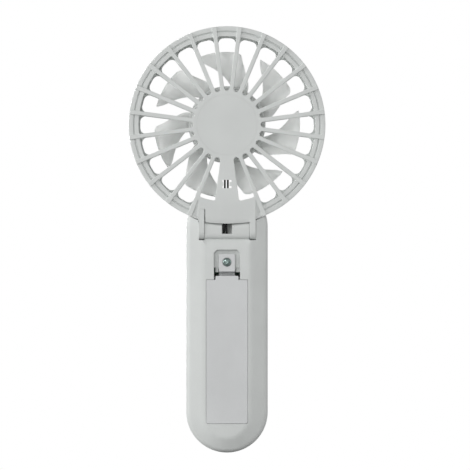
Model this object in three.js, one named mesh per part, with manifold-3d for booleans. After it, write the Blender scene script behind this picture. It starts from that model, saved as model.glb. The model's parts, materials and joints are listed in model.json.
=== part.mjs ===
// Handheld electric fan: a round caged head that folds back on a hinge at the top of a flat handle.
// Units are millimetres. +Z runs up the handle, the open front of the cage faces -Y, and the back
// with the battery door faces +Y. The origin is at the bottom of the handle, midway through the head.
import * as THREE from 'three';
import { mergeVertices } from 'three/addons/utils/BufferGeometryUtils.js';
import Module from 'manifold-3d';

const wasm = await Module();
wasm.setup();

// Driving dimensions of the head
const HUB_Z = 158.3; // height of the impeller axis
const HEAD_R = 47.5; // outside of the cage ring
const HEAD_HALF_DEPTH = 13.5; // from the middle of the cage to its front and to its back
const RING_WALL = 1.8;
const REAR_OPENING_R = 42.6; // the flat ring band runs from here to the outside
const REAR_OPENING_CORNER = 0.8;
const FRONT_OPENING_R = 42.0;
const FRONT_OPENING_CORNER = 2.6;
const BAND_RECESS = 0.8; // the band lies this far below the bars that cross it
const GRILLE_THICK = 2.2;
const BAR_COUNT = 24;
const BAR_PITCH = 360 / BAR_COUNT;
const BAR_WIDTH = 2.0;
const BAR_WIDTH_ON_RING = 2.4;
const OPENING_INNER_R = 16.4;
const PLATE_TOP_R = 37.2; // the neck plate starts this far below the hub
const PLATE_HALF = 13.9; // the neck plate is this wide either side
const WINDOW_HALF = 2.2; // the window in the neck arm that shows the motor leads
const WINDOW_Z = [127.6, 131.6];
const CAP_R = 14.6;
const CAP_THICK = 1.1;
const RING_STEPS = 72; // facets round the cage
const ROUND_STEPS = 32; // facets round the motor and the cell

// Driving dimensions of the motor and impeller
const POD_R = 13.8;
const POD_BORE_R = 12.5;
const POD_FLOOR_Y = -4.0;
const MOTOR_R = 12.2;
const SHAFT_R = 1.0;
const IMPELLER_HUB_R = 18.6;
const IMPELLER_HUB_BACK = 7.4;
const IMPELLER_HUB_FRONT = -9.0;
const IMPELLER_WALL = 1.2;
const BLADE_COUNT = 7;
const BLADE_FIRST_TIP = 14.2; // degrees anticlockwise from +X, seen from the front
const BLADE_THICK = 1.1;

// Driving dimensions of the handle
const HANDLE_HALF = 19.65; // half the width, and the radius of the round end
const HANDLE_BACK = 13.0;
const HANDLE_FRONT = -12.0;
const BAND_SIDE = 8.35; // width of the sloped band along each side of the back
const BAND_END = 6.9; // width of the same band at the round end
const WALL = 1.8;
const CRADLE_R = 48.2; // the hollow top edge that the ring rests in
const FRONT_CRADLE_R = 47.85; // the same in the front shell, closer to the ring
const ABOVE_CRADLE = 119;

// Driving dimensions of the hinge
const HINGE_Y = 9.0;
const HINGE_Z = 107.1;
const KNUCKLE_R = 4.0;
const KNUCKLE_IN = 2.45;
const KNUCKLE_OUT = 10.3;
const EAR_R = 4.5;
const EAR_IN = 10.6;
const PEG_R = 1.9;
const POCKET_HALF = 14.2;
const POCKET_FLOOR_Z = 102.3;
const CHEEK_TOP_Z = 117.5;
const CHEEK_SCREW_X = 12.05;
const CHEEK_SCREW_Z = 115.4;

// Driving dimensions of the battery bay and its door
const CELL_R = 9.2;
const CELL_LENGTH = 65;
const CELL_Y = 1.9;
const DOOR_HALF = 10.0;
const DOOR_LOW = 14.0;
const DOOR_HIGH = 83.4;
const DOOR_THICK = 1.6;
const SEAM = 0.2;
const LATCH_HALF = 6.3;
const LATCH_TOP = 97.9;
const TAB_HALF = 3.93;
const TAB_LOW = 87.3;
const TAB_HIGH = 95.9;
const DOOR_SCREW_Z = 91.9;
const SLOT_HIGH = 89.3;

// Driving dimensions of the controls
const BUTTON_Z = 96;
const BUTTON_R = 6.5;
const LAMP_Z = 86.6;
const BOARD_FRONT_Y = -6.0;
const BOARD_THICK = 1.2;
const SOCKET_Z = 92;
const SOCKET_Y = -2.9;

const GAP = 0.3; // clearance between touching pieces
const LEAD_R = 0.48; // of the motor leads
const BATTERY_LEAD_R = 0.4;
const LEAD_END = 0.5; // each half of a motor lead stops this far from the hinge axis
const PAST = 1; // how far a cutting solid runs past the face it opens

const rad = THREE.MathUtils.degToRad;

// ---- shape helpers -------------------------------------------------------------------------

/** A closed three.js geometry as a solid that can be joined and cut. */
function solid(geometry) {
  geometry.deleteAttribute('normal');
  geometry.deleteAttribute('uv');
  const merged = mergeVertices(geometry, 1e-4);
  const index = merged.index.array;
  const triangles = [];
  for (let i = 0; i < index.length; i += 3) {
    const [a, b, c] = [index[i], index[i + 1], index[i + 2]];
    if (a !== b && b !== c && c !== a) triangles.push(a, b, c);
  }
  const vertProperties = new Float32Array(merged.attributes.position.array);
  const triVerts = new Uint32Array(triangles);
  return new wasm.Manifold(new wasm.Mesh({ numProp: 3, vertProperties, triVerts }));
}

function join(...solids) {
  return solids.reduce((whole, next) => whole.add(next));
}

function cut(base, ...tools) {
  return tools.reduce((left, tool) => left.subtract(tool), base);
}

/** A box from its low and high corners. */
function block([x0, x1], [y0, y1], [z0, z1]) {
  const geometry = new THREE.BoxGeometry(x1 - x0, y1 - y0, z1 - z0);
  geometry.translate((x0 + x1) / 2, (y0 + y1) / 2, (z0 + z1) / 2);
  return solid(geometry);
}

/** Points on a circle or ellipse, in degrees anticlockwise. */
function arc(cx, cy, rx, ry, from, to, steps) {
  const points = [];
  for (let i = 0; i <= steps; i++) {
    const angle = rad(from + ((to - from) * i) / steps);
    points.push([cx + rx * Math.cos(angle), cy + ry * Math.sin(angle)]);
  }
  return points;
}

function circle(cx, cy, r, steps) {
  return arc(cx, cy, r, r, 0, 360, steps).slice(1);
}

function shapeOf(points, holes = []) {
  const shape = new THREE.Shape(points.map(([x, y]) => new THREE.Vector2(x, y)));
  shape.holes = holes.map((hole) => new THREE.Path(hole.map(([x, y]) => new THREE.Vector2(x, y))));
  return shape;
}

/** An outline in X and Z, filled between two Y planes. */
function slab(points, [y0, y1], holes = []) {
  const geometry = new THREE.ExtrudeGeometry(shapeOf(points, holes), { depth: y1 - y0, bevelEnabled: false });
  geometry.rotateX(Math.PI / 2);
  geometry.translate(0, y1, 0);
  return solid(geometry);
}

/** An outline in Y and Z, filled between two X planes. */
function sidePlate(points, [x0, x1]) {
  const geometry = new THREE.ExtrudeGeometry(shapeOf(points), { depth: x1 - x0, bevelEnabled: false });
  geometry.rotateZ(Math.PI / 2);
  geometry.rotateY(Math.PI / 2);
  geometry.translate(x0, 0, 0);
  return solid(geometry);
}

/** A profile of [radius, height] pairs, anticlockwise, turned about the named axis through a point. */
function turned(profile, axis, [x, y, z], steps) {
  const points = [...profile, profile[0]].map(([r, h]) => new THREE.Vector2(r, h));
  const geometry = new THREE.LatheGeometry(points, steps);
  if (axis === 'x') geometry.rotateZ(-Math.PI / 2);
  if (axis === 'z') geometry.rotateX(Math.PI / 2);
  geometry.translate(x, y, z);
  return solid(geometry);
}

/** A round bar along the named axis, from one height to another. */
function rod(r, axis, [h0, h1], centre, steps = 24) {
  return turned([[0, h0], [r, h0], [r, h1], [0, h1]], axis, centre, steps);
}

/** A round tube along the named axis. */
function pipe(inner, outer, axis, [h0, h1], centre, steps = ROUND_STEPS) {
  return turned([[inner, h0], [outer, h0], [outer, h1], [inner, h1]], axis, centre, steps);
}

/** A skin through matching outlines in X and Z at rising Y, closed at both ends. */
function loft(sections) {
  const count = sections[0].points.length;
  const vertices = sections.flatMap(({ y, points }) => points.map(([x, z]) => [x, y, z])).flat();
  const faces = [];
  for (let level = 0; level < sections.length - 1; level++) {
    for (let i = 0; i < count; i++) {
      const next = (i + 1) % count;
      const [a, b] = [level * count + i, level * count + next];
      faces.push(a, a + count, b + count, a, b + count, b);
    }
  }
  const flat = (points) => points.map(([x, z]) => new THREE.Vector2(x, z));
  const last = (sections.length - 1) * count;
  for (const [a, b, c] of THREE.ShapeUtils.triangulateShape(flat(sections[0].points), [])) faces.push(a, b, c);
  for (const [a, b, c] of THREE.ShapeUtils.triangulateShape(flat(sections.at(-1).points), [])) {
    faces.push(last + a, last + c, last + b);
  }
  const geometry = new THREE.BufferGeometry();
  geometry.setAttribute('position', new THREE.Float32BufferAttribute(vertices, 3));
  geometry.setIndex(faces);
  return solid(geometry);
}

/** A round wire along a smooth curve through points. */
function wire(points, r, steps, sides = 6) {
  const path = new THREE.CatmullRomCurve3(points.map(([x, y, z]) => new THREE.Vector3(x, y, z)));
  const section = shapeOf(circle(0, 0, r, sides));
  return solid(new THREE.ExtrudeGeometry(section, { steps, extrudePath: path, bevelEnabled: false }));
}

/** A point given by radius and angle about the hub, in X and Z. */
function aroundHub(r, degrees) {
  return [r * Math.cos(rad(degrees)), HUB_Z + r * Math.sin(rad(degrees))];
}

// ---- materials and the assembly ------------------------------------------------------------

const finishes = {
  shell_plastic: { color: 0xc4c7c5, roughness: 0.45, metalness: 0 },
  door_plastic: { color: 0xc3c4c6, roughness: 0.45, metalness: 0 },
  button_plastic: { color: 0xd4d6d5, roughness: 0.35, metalness: 0 },
  zinc_steel: { color: 0x9aa5a0, roughness: 0.35, metalness: 0.9 },
  nickel: { color: 0xb9b6ad, roughness: 0.3, metalness: 1 },
  copper: { color: 0xb4704a, roughness: 0.4, metalness: 0.9 },
  magnet: { color: 0x3a3a3c, roughness: 0.7, metalness: 0.1 },
  black_plastic: { color: 0x1c1d1f, roughness: 0.5, metalness: 0 },
  circuit_green: { color: 0x1f5a3a, roughness: 0.5, metalness: 0 },
  cell_wrap: { color: 0x2f6fb5, roughness: 0.35, metalness: 0 },
  clear_plastic: { color: 0xe6ecee, roughness: 0.2, metalness: 0 },
  lead_sleeve: { color: 0x0d0d0e, roughness: 0.55, metalness: 0 },
};

const fan = new THREE.Group();

function addPart(name, body, finish) {
  const mesh = body.getMesh();
  const geometry = new THREE.BufferGeometry();
  geometry.setAttribute('position', new THREE.BufferAttribute(new Float32Array(mesh.vertProperties), 3));
  geometry.setIndex(new THREE.BufferAttribute(new Uint32Array(mesh.triVerts), 1));
  const part = new THREE.Mesh(geometry, new THREE.MeshStandardMaterial(finishes[finish]));
  part.name = name;
  fan.add(part);
}

// ---- cage ----------------------------------------------------------------------------------

/** One wedge opening between two bars: a round inner end and two rounded outer corners. */
function opening(centreAngle, outerR, cornerR) {
  const halfPitch = BAR_PITCH / 2;
  const halfBar = BAR_WIDTH / 2;
  const endCentre = (OPENING_INNER_R - halfBar) / (1 - Math.sin(rad(halfPitch)));
  const endR = endCentre - OPENING_INNER_R;
  const cornerAngle = halfPitch - THREE.MathUtils.radToDeg(Math.asin((halfBar + cornerR) / (outerR - cornerR)));
  const [cornerX, cornerY] = arc(0, 0, outerR - cornerR, outerR - cornerR, cornerAngle, cornerAngle, 1)[0];
  const side = 90 + halfPitch;
  const points = [
    ...arc(endCentre, 0, endR, endR, side, 360 - side, 4),
    ...arc(cornerX, -cornerY, cornerR, cornerR, -side, -cornerAngle, 2),
    ...arc(cornerX, cornerY, cornerR, cornerR, cornerAngle, side, 2),
  ];
  const [c, s] = [Math.cos(rad(centreAngle)), Math.sin(rad(centreAngle))];
  return points.map(([u, v]) => [u * c - v * s, HUB_Z + u * s + v * c]);
}

/** The rear grille's openings: full ones, and shorter ones beside the neck arm. */
function rearOpenings() {
  const list = [];
  for (let i = 0; i < BAR_COUNT; i++) {
    const angle = i * BAR_PITCH;
    const fromNeck = Math.abs(angle - 270);
    if (fromNeck === 0) continue;
    if (fromNeck === BAR_PITCH) list.push(opening(angle, PLATE_TOP_R, 0.9));
    else list.push(opening(angle, REAR_OPENING_R, REAR_OPENING_CORNER));
  }
  return list;
}

function frontOpenings() {
  const list = [];
  for (let i = 0; i < BAR_COUNT; i++) {
    const angle = i * BAR_PITCH;
    const overNeck = Math.abs(angle - 270) <= BAR_PITCH;
    if (overNeck) list.push(opening(angle, PLATE_TOP_R, 1.2));
    else list.push(opening(angle, FRONT_OPENING_R, FRONT_OPENING_CORNER));
  }
  return list;
}

/** The shallow recess of the ring band between two neighbouring bars. */
function bandRecess(centreAngle, y) {
  const inner = FRONT_OPENING_R - 1.5;
  const outer = HEAD_R + PAST;
  const edge = (r) => BAR_PITCH / 2 - THREE.MathUtils.radToDeg(Math.asin(BAR_WIDTH_ON_RING / 2 / r));
  const points = [
    aroundHub(inner, centreAngle - edge(inner)),
    aroundHub(outer, centreAngle - edge(outer)),
    aroundHub(outer, centreAngle),
    aroundHub(outer, centreAngle + edge(outer)),
    aroundHub(inner, centreAngle + edge(inner)),
  ];
  return slab(points, y);
}

/** The recesses all round. Beside the neck plate, a recess stops at the plate's upright edge. */
function cutBandRecesses(grille, y) {
  let left = grille;
  for (let i = 0; i < BAR_COUNT; i++) {
    const angle = i * BAR_PITCH;
    const fromNeck = Math.abs(angle - 270);
    if (fromNeck > 1.5 * BAR_PITCH) left = cut(left, bandRecess(angle, y));
    if (fromNeck === BAR_PITCH) left = cut(left, bandRecess(angle, y).subtract(neckPlateArea(y)));
  }
  return left;
}

function neckPlateArea([y0, y1]) {
  return block([-PLATE_HALF, PLATE_HALF], [y0 - PAST, y1 + PAST], [100, HUB_Z]);
}

/** The flat face of a grille with its bars and band, between two Y planes. */
function grilleFace(y, openings) {
  return slab(circle(0, HUB_Z, HEAD_R, RING_STEPS), y, openings);
}

function ringWall(y) {
  return pipe(HEAD_R - RING_WALL, HEAD_R, 'y', y, [0, 0, HUB_Z], RING_STEPS);
}

/** The lobe that carries one end of the hinge: round at the axis, straight up to the neck plate. */
function earProfile(topZ) {
  const [back, front] = [HINGE_Y + EAR_R, HINGE_Y - EAR_R];
  return [...arc(HINGE_Y, HINGE_Z, EAR_R, EAR_R, 180, 360, 12), [back, topZ], [front, topZ]];
}

/** The window in the neck arm, with a small tab at each side that steadies the leads. */
function armWindow() {
  const back = HEAD_HALF_DEPTH;
  const tabZ = [WINDOW_Z[0] + 1, WINDOW_Z[1] - 1];
  return cut(
    block([-WINDOW_HALF, WINDOW_HALF], [8.5, back + PAST], WINDOW_Z),
    block([-WINDOW_HALF - PAST, -1.2], [back - GRILLE_THICK, back], tabZ),
    block([1.8, WINDOW_HALF + PAST], [back - GRILLE_THICK, back], tabZ),
  );
}

/** The pod that holds the motor, open towards the back. */
function motorPod(backY) {
  const hub = [0, 0, HUB_Z];
  const wall = pipe(POD_BORE_R, POD_R, 'y', [POD_FLOOR_Y, backY], hub);
  return join(wall, rod(POD_R, 'y', [POD_FLOOR_Y, POD_FLOOR_Y + 1.4], hub, ROUND_STEPS));
}

/** The two ribs behind the neck arm with the motor leads between them. */
function leadChannel(y) {
  const z = [111.6, HUB_Z - POD_R + 0.3];
  return join(block([-3.2, -2.2], y, z), block([2.2, 3.2], y, z));
}

function hingePeg(x) {
  return rod(PEG_R, 'x', x, [0, HINGE_Y, HINGE_Z]);
}

function rearGrille() {
  const back = HEAD_HALF_DEPTH;
  const inside = back - GRILLE_THICK;
  const hub = [0, 0, HUB_Z];
  const hinge = [0, HINGE_Y, HINGE_Z];
  const earFront = HINGE_Y - EAR_R;
  const face = grilleFace([inside, back], rearOpenings());
  const whole = join(
    cutBandRecesses(face, [back - BAND_RECESS, back + PAST]),
    ringWall([GAP / 2, inside + 0.5]),
    motorPod(inside + 0.5),
    leadChannel([9.3, inside + 0.5]),
    sidePlate(earProfile(CHEEK_TOP_Z), [-PLATE_HALF, -EAR_IN]),
    block([9.5, 13.6], [2.7, earFront - 0.35], [112.6, CHEEK_TOP_Z]),
  );
  const opened = cut(
    whole,
    rod(CAP_R + SEAM, 'y', [back - CAP_THICK - 0.1, back + PAST], hub, 48),
    rod(POD_BORE_R, 'y', [POD_FLOOR_Y + 1.4, back], hub, ROUND_STEPS),
    rod(2.6, 'y', [POD_FLOOR_Y - PAST, 0], hub),
    block([-2.6, 2.6], [9.3, 11.9], [HUB_Z - POD_R - 0.3, HUB_Z - POD_BORE_R + 1]),
    armWindow(),
    rod(KNUCKLE_R + 0.4, 'x', [-KNUCKLE_OUT - 0.1, KNUCKLE_OUT + 0.15], hinge, 32),
    block([-2.0, 2.8], [6.8, 11], [109, 114]),
    block([EAR_IN - 0.15, POCKET_HALF], [earFront - 0.2, back + PAST], [100, CHEEK_TOP_Z + 0.15]),
    rod(1.1, 'y', [1, 6], [CHEEK_SCREW_X, 0, CHEEK_SCREW_Z], 12),
    rod(1.95, 'y', [0, 2.7], [CHEEK_SCREW_X, 0, CHEEK_SCREW_Z], 20),
    ...motorScrewPlaces().map(([x, z]) => rod(1.15, 'y', [POD_FLOOR_Y - PAST, 0], [x, 0, z], 12)),
  );
  return join(opened, hingePeg([-(PLATE_HALF + EAR_IN) / 2, -EAR_IN + 5]));
}

function frontGrille() {
  const front = -HEAD_HALF_DEPTH;
  const inside = front + GRILLE_THICK;
  const hub = [0, 0, HUB_Z];
  const wallInner = HEAD_R - RING_WALL;
  const plain = grilleFace([front, inside], frontOpenings());
  const face = cutBandRecesses(plain, [front - PAST, front + BAND_RECESS]);
  const lip = pipe(wallInner - 1.5, wallInner - GAP, 'y', [-3, 1.8], hub, RING_STEPS);
  const lipRoot = pipe(wallInner - 1.5, wallInner + 0.5, 'y', [-3, -1.8], hub, RING_STEPS);
  const neckRoom = block([-PLATE_HALF - GAP, PLATE_HALF + GAP], [-GAP / 2, 3], [100, 120]);
  const whole = join(face, ringWall([inside - 0.5, -GAP / 2]), cut(lip, neckRoom), lipRoot);
  return cut(whole, rod(CAP_R + SEAM, 'y', [front - PAST, front + CAP_THICK + 0.1], hub, 48));
}

/** The separate cheek that closes the hinge on the +X side, with its own peg. */
function hingeCheek() {
  const lobe = sidePlate(earProfile(CHEEK_TOP_Z), [EAR_IN, 13.5]);
  const screwBore = rod(1.1, 'y', [HINGE_Y - EAR_R - PAST, 9.6], [CHEEK_SCREW_X, 0, CHEEK_SCREW_Z], 12);
  return cut(join(lobe, hingePeg([EAR_IN - 5, EAR_IN + 1])), screwBore);
}

function cap(facing) {
  const outer = facing * HEAD_HALF_DEPTH;
  const inner = outer - facing * CAP_THICK;
  return rod(CAP_R, 'y', [Math.min(inner, outer), Math.max(inner, outer)], [0, 0, HUB_Z], 48);
}

/** The strip that keeps the motor leads in the channel of the neck arm, open behind the window. */
function leadCover() {
  const strip = block([-3.2, 3.2], [8.2, 9.0], [114.5, HUB_Z - POD_R - 0.4]);
  return cut(strip, block([-WINDOW_HALF, WINDOW_HALF], [8, 9.5], WINDOW_Z));
}

// ---- motor ---------------------------------------------------------------------------------

function motorScrewPlaces() {
  return [[-7, HUB_Z], [7, HUB_Z]];
}

function motorCan() {
  const hub = [0, 0, HUB_Z];
  const [faceY, openY] = [POD_FLOOR_Y + 1.4 + 0.2, 7.6];
  const sheet = 0.8;
  const cup = turned([
    [0, faceY], [MOTOR_R, faceY], [MOTOR_R, openY], [MOTOR_R - sheet, openY],
    [MOTOR_R - sheet, faceY + sheet], [0, faceY + sheet],
  ], 'y', hub, ROUND_STEPS);
  const can = join(cup, rod(2.2, 'y', [POD_FLOOR_Y - 0.3, faceY + 0.4], hub));
  const bores = motorScrewPlaces().map(([x, z]) => rod(1.15, 'y', [faceY - PAST, faceY + 2], [x, 0, z], 12));
  return cut(can, rod(SHAFT_R + 0.2, 'y', [POD_FLOOR_Y - PAST, 3], hub, 16), ...bores);
}

function motorMagnet() {
  return pipe(8.8, MOTOR_R - 1.1, 'y', [0.2, 6.2], [0, 0, HUB_Z], 36);
}

/** Three wound poles and the commutator, one turning piece with a bore for the shaft. */
function motorArmature() {
  const hub = [0, 0, HUB_Z];
  const stack = [0.6, 5.8];
  let poles = join(rod(3.4, 'y', stack, hub), rod(2.4, 'y', [5.4, 7.4], hub));
  for (let i = 0; i < 3; i++) {
    const angle = 90 + i * 120;
    const shoe = [
      ...arc(0, HUB_Z, 8.3, 8.3, angle - 48, angle + 48, 8),
      ...arc(0, HUB_Z, 6.9, 6.9, angle + 48, angle - 48, 8),
    ];
    const arm = [
      aroundHub(2.5, angle - 60), aroundHub(7.4, angle - 18),
      aroundHub(7.4, angle + 18), aroundHub(2.5, angle + 60),
    ];
    poles = join(poles, slab(shoe, stack), slab(arm, stack));
  }
  return cut(poles, rod(SHAFT_R + 0.2, 'y', [-PAST, 9], hub, 16));
}

function motorEndCap() {
  const hub = [0, 0, HUB_Z];
  return cut(
    rod(MOTOR_R, 'y', [7.9, 10.3], hub, ROUND_STEPS),
    rod(SHAFT_R + 0.2, 'y', [7, 9.4], hub, 16),
  );
}

function motorShaft() {
  return rod(SHAFT_R, 'y', [IMPELLER_HUB_FRONT + 0.9, 9.1], [0, 0, HUB_Z], 16);
}

/** A screw along Y with a crossed recess. `toward` is the side its head faces, -1 or +1. */
function screw(headR, headHigh, shankR, shankLong, [x, underHeadY, z], toward) {
  const span = (a, b) => [a, b].map((along) => underHeadY + along * toward).sort((p, q) => p - q);
  const body = join(
    rod(headR, 'y', span(0, headHigh), [x, 0, z], 16),
    rod(shankR, 'y', span(-shankLong, headHigh / 2), [x, 0, z], 8),
  );
  const depth = span(headHigh * 0.45, headHigh + PAST);
  const [long, short] = [headR * 0.58, headR * 0.14];
  return cut(
    body,
    block([x - long, x + long], depth, [z - short, z + short]),
    block([x - short, x + short], depth, [z - long, z + long]),
  );
}

// ---- impeller ------------------------------------------------------------------------------

/** Edges of a blade by radius: [radius, leading angle, trailing angle, leading Y, trailing Y]. */
const BLADE_STATIONS = [
  [17.9, 31.3, 56.5, 6.2, -7.2],
  [21.5, 24.5, 53.2, 6.0, -6.8],
  [26.4, 13.9, 44.5, 5.5, -6.2],
  [31.2, 4.2, 38.5, 5.0, -5.6],
  [34.2, 0.7, 36.0, 4.6, -5.1],
  [35.3, 0.3, 32.4, 4.5, -5.0],
];
const CHORD_STEPS = 4;

/** One blade: stations from root to tip, each with points along its chord on both faces. */
function blade(tipAngle) {
  const ring = ([r, lead, trail, leadY, trailY]) => {
    const face = (side) => Array.from({ length: CHORD_STEPS + 1 }, (_, i) => {
      const along = i / CHORD_STEPS;
      const camber = 1.1 * Math.sin(Math.PI * along);
      const angle = tipAngle + lead + (trail - lead) * along + side * 1.1;
      const y = leadY + (trailY - leadY) * along - camber + side * BLADE_THICK * 0.4;
      const [x, z] = aroundHub(r, angle);
      return [x, y, z];
    });
    return [...face(1), ...face(-1).reverse()];
  };
  const rings = BLADE_STATIONS.map(ring);
  const count = rings[0].length;
  const faces = [];
  for (let level = 0; level < rings.length - 1; level++) {
    for (let i = 0; i < count; i++) {
      const next = (i + 1) % count;
      const [a, b] = [level * count + i, level * count + next];
      faces.push(a, b, b + count, a, b + count, a + count);
    }
  }
  const last = (rings.length - 1) * count;
  for (let i = 0; i < CHORD_STEPS; i++) {
    const mate = count - 1 - i;
    faces.push(i, mate, mate - 1, i, mate - 1, i + 1);
    faces.push(last + i, last + mate - 1, last + mate, last + i, last + i + 1, last + mate - 1);
  }
  const geometry = new THREE.BufferGeometry();
  geometry.setAttribute('position', new THREE.Float32BufferAttribute(rings.flat(2), 3));
  geometry.setIndex(faces);
  return solid(geometry);
}

function impeller() {
  const hub = [0, 0, HUB_Z];
  const [front, back] = [IMPELLER_HUB_FRONT, IMPELLER_HUB_BACK];
  const bore = IMPELLER_HUB_R - IMPELLER_WALL;
  const cup = turned([
    [0, front], [IMPELLER_HUB_R - 1.5, front], [IMPELLER_HUB_R, front + 1.5], [IMPELLER_HUB_R, back],
    [bore, back], [bore, front + 1.4], [0, front + 1.4],
  ], 'y', hub, 48);
  let whole = join(cup, rod(3, 'y', [front + 0.5, -4.9], hub));
  for (let i = 0; i < BLADE_COUNT; i++) whole = join(whole, blade(BLADE_FIRST_TIP + (i * 360) / BLADE_COUNT));
  return cut(whole, rod(SHAFT_R + 0.15, 'y', [front + 0.7, 0], hub, 16));
}

// ---- handle shells -------------------------------------------------------------------------

/** How far the handle's sides draw in towards the cradle: [drawn in, height]. */
const SHOULDER = [[0, 109], [0.15, 111.2], [0.55, 113.5], [1.3, 116], [1.3, ABOVE_CRADLE]];

/** The handle's outline moved inward, open above the cradle, at one depth. */
function handleSection(y, inset) {
  const half = HANDLE_HALF - inset;
  const endHalf = HANDLE_HALF - (inset * BAND_END) / BAND_SIDE;
  const points = [
    ...arc(0, HANDLE_HALF, half, endHalf, 180, 360, 24),
    ...SHOULDER.map(([drawnIn, z]) => [half - drawnIn, z]),
    ...SHOULDER.map(([drawnIn, z]) => [drawnIn - half, z]).reverse(),
  ];
  return { y, points };
}

function handleBody(levels) {
  return loft(levels.map(([y, inset]) => handleSection(y, inset)));
}

/** The round hollow of the top edge, a little wider at the back so that the ring can swing out. */
function cradleCut() {
  const wide = CRADLE_R + 1.3;
  const profile = [[0, -20], [CRADLE_R, -20], [CRADLE_R, 11.4], [wide, HANDLE_BACK], [wide, 20], [0, 20]];
  return turned(profile, 'y', [0, 0, HUB_Z], RING_STEPS);
}

/** The two hinge knuckles with the web that ties them to the handle. */
function knuckles() {
  const centre = [0, HINGE_Y, HINGE_Z];
  return join(
    rod(KNUCKLE_R, 'x', [-KNUCKLE_OUT, KNUCKLE_OUT], centre, 40),
    block([-KNUCKLE_OUT, KNUCKLE_OUT], [3.9, HINGE_Y], [100.9, 109.8]),
    block([-KNUCKLE_OUT, KNUCKLE_OUT], [8.8, 11.2], [100.9, 104]),
  );
}

/** The slope below the hinge, which leaves room for the head when it is folded back. */
function foldRelief() {
  const outline = [[HANDLE_BACK + PAST, 97.2], [HANDLE_BACK + PAST, 103.6], [10.7, 103.6], [10.7, 102.8]];
  const half = HANDLE_HALF - BAND_SIDE;
  return sidePlate(outline, [-half, half]);
}

/** The shallow recess round the latch, with its two upper corners cut off. */
function latchRecess() {
  const chamfer = 1.5;
  const outline = [
    [-LATCH_HALF, 88.5], [LATCH_HALF, 88.5],
    [LATCH_HALF, LATCH_TOP - chamfer], [LATCH_HALF - chamfer, LATCH_TOP],
    [-LATCH_HALF + chamfer, LATCH_TOP], [-LATCH_HALF, LATCH_TOP - chamfer],
  ];
  return slab(outline, [10.9, HANDLE_BACK + PAST]);
}

function shellScrewPlaces() {
  return [[-7.3, 24], [7.3, 24], [-7.3, 74], [7.3, 74]];
}

/** The walls behind the hinge pocket, the slope and the latch, and the boss for the door's screw. */
function backedAreas() {
  const pocketSide = POCKET_HALF + 1.5;
  return join(
    block([-pocketSide, pocketSide], [2.4, 12.5], [100.6, 116]),
    block([-pocketSide, pocketSide], [8.9, 12.5], [96.6, 101]),
    block([-LATCH_HALF - 1.2, LATCH_HALF + 1.2], [9.6, 12.5], [83.4, 99]),
    rod(2.4, 'y', [4.6, 11], [0, 0, DOOR_SCREW_Z]),
  );
}

function rearShell() {
  const split = GAP / 2;
  const outer = handleBody([[split, 0], [8.6, 0], [9.8, 0.45], [10.6, 1.4], [HANDLE_BACK, BAND_SIDE]]);
  const hollow = handleBody([[-PAST, WALL], [8.0, WALL], [HANDLE_BACK - WALL, BAND_SIDE + 0.5]]);
  const walls = outer.intersect(join(backedAreas(), crownWall(split, 12)));
  const pocket = block([-POCKET_HALF, POCKET_HALF], [4.1, 20], [POCKET_FLOOR_Z, ABOVE_CRADLE]);
  const opened = cut(join(cut(outer, hollow), walls, batteryTrough(outer)), pocket, foldRelief());
  return cut(
    join(opened, knuckles()),
    cradleCut(),
    block([-KNUCKLE_IN, KNUCKLE_IN], [3.8, 20], [105.6, ABOVE_CRADLE]),
    block([-KNUCKLE_IN, KNUCKLE_IN], [6.4, 9.5], [95, 106]),
    rod(PEG_R + 0.25, 'x', [-KNUCKLE_OUT - PAST, KNUCKLE_OUT + PAST], [0, HINGE_Y, HINGE_Z]),
    latchRecess(),
    block([-LATCH_HALF, LATCH_HALF], [7.2, 20], [DOOR_HIGH + SEAM, SLOT_HIGH]),
    doorOpening(),
    block([-9.5, 9.5], [-7.6, 12.5], [14.2, 83.2]),
    rod(0.95, 'y', [5, 12], [0, 0, DOOR_SCREW_Z], 12),
    block([9, 12], [-6.6, -1.4], [82.3, 83.2]),
    block([9, 12], [-6.6, -1.4], [14.2, 15.1]),
    ...shellScrewPlaces().map(([x, z]) => rod(1.05, 'y', [-10, -7], [x, 0, z], 12)),
  );
}

/** The wall under the cradle that closes the top of a shell: all above an arc about the hub. */
function crownWall(y0, y1) {
  const r = CRADLE_R + WALL;
  const reach = THREE.MathUtils.radToDeg(Math.asin(HANDLE_HALF / r));
  const top = [[HANDLE_HALF, ABOVE_CRADLE], [-HANDLE_HALF, ABOVE_CRADLE]];
  return slab([...arc(0, HUB_Z, r, r, 270 - reach, 270 + reach, 20), ...top], [y0, y1]);
}

/** The block that the battery bay is cut into, kept inside the shell's outer face. */
function batteryTrough(outer) {
  const [x, z] = [[-11.3, 11.3], [12.6, 84.7]];
  return join(block(x, [-8.8, 12], z).intersect(outer), block(x, [-8.8, 5], z));
}

function doorOpening() {
  const half = DOOR_HALF + SEAM;
  const corner = 1.2;
  const low = DOOR_LOW - SEAM;
  const points = [
    ...arc(-half + corner, low + corner, corner, corner, 180, 270, 4),
    ...arc(half - corner, low + corner, corner, corner, 270, 360, 4),
    [half, DOOR_HIGH + SEAM],
    [-half, DOOR_HIGH + SEAM],
  ];
  return slab(points, [HANDLE_BACK - DOOR_THICK - 0.2, 20]);
}

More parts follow.
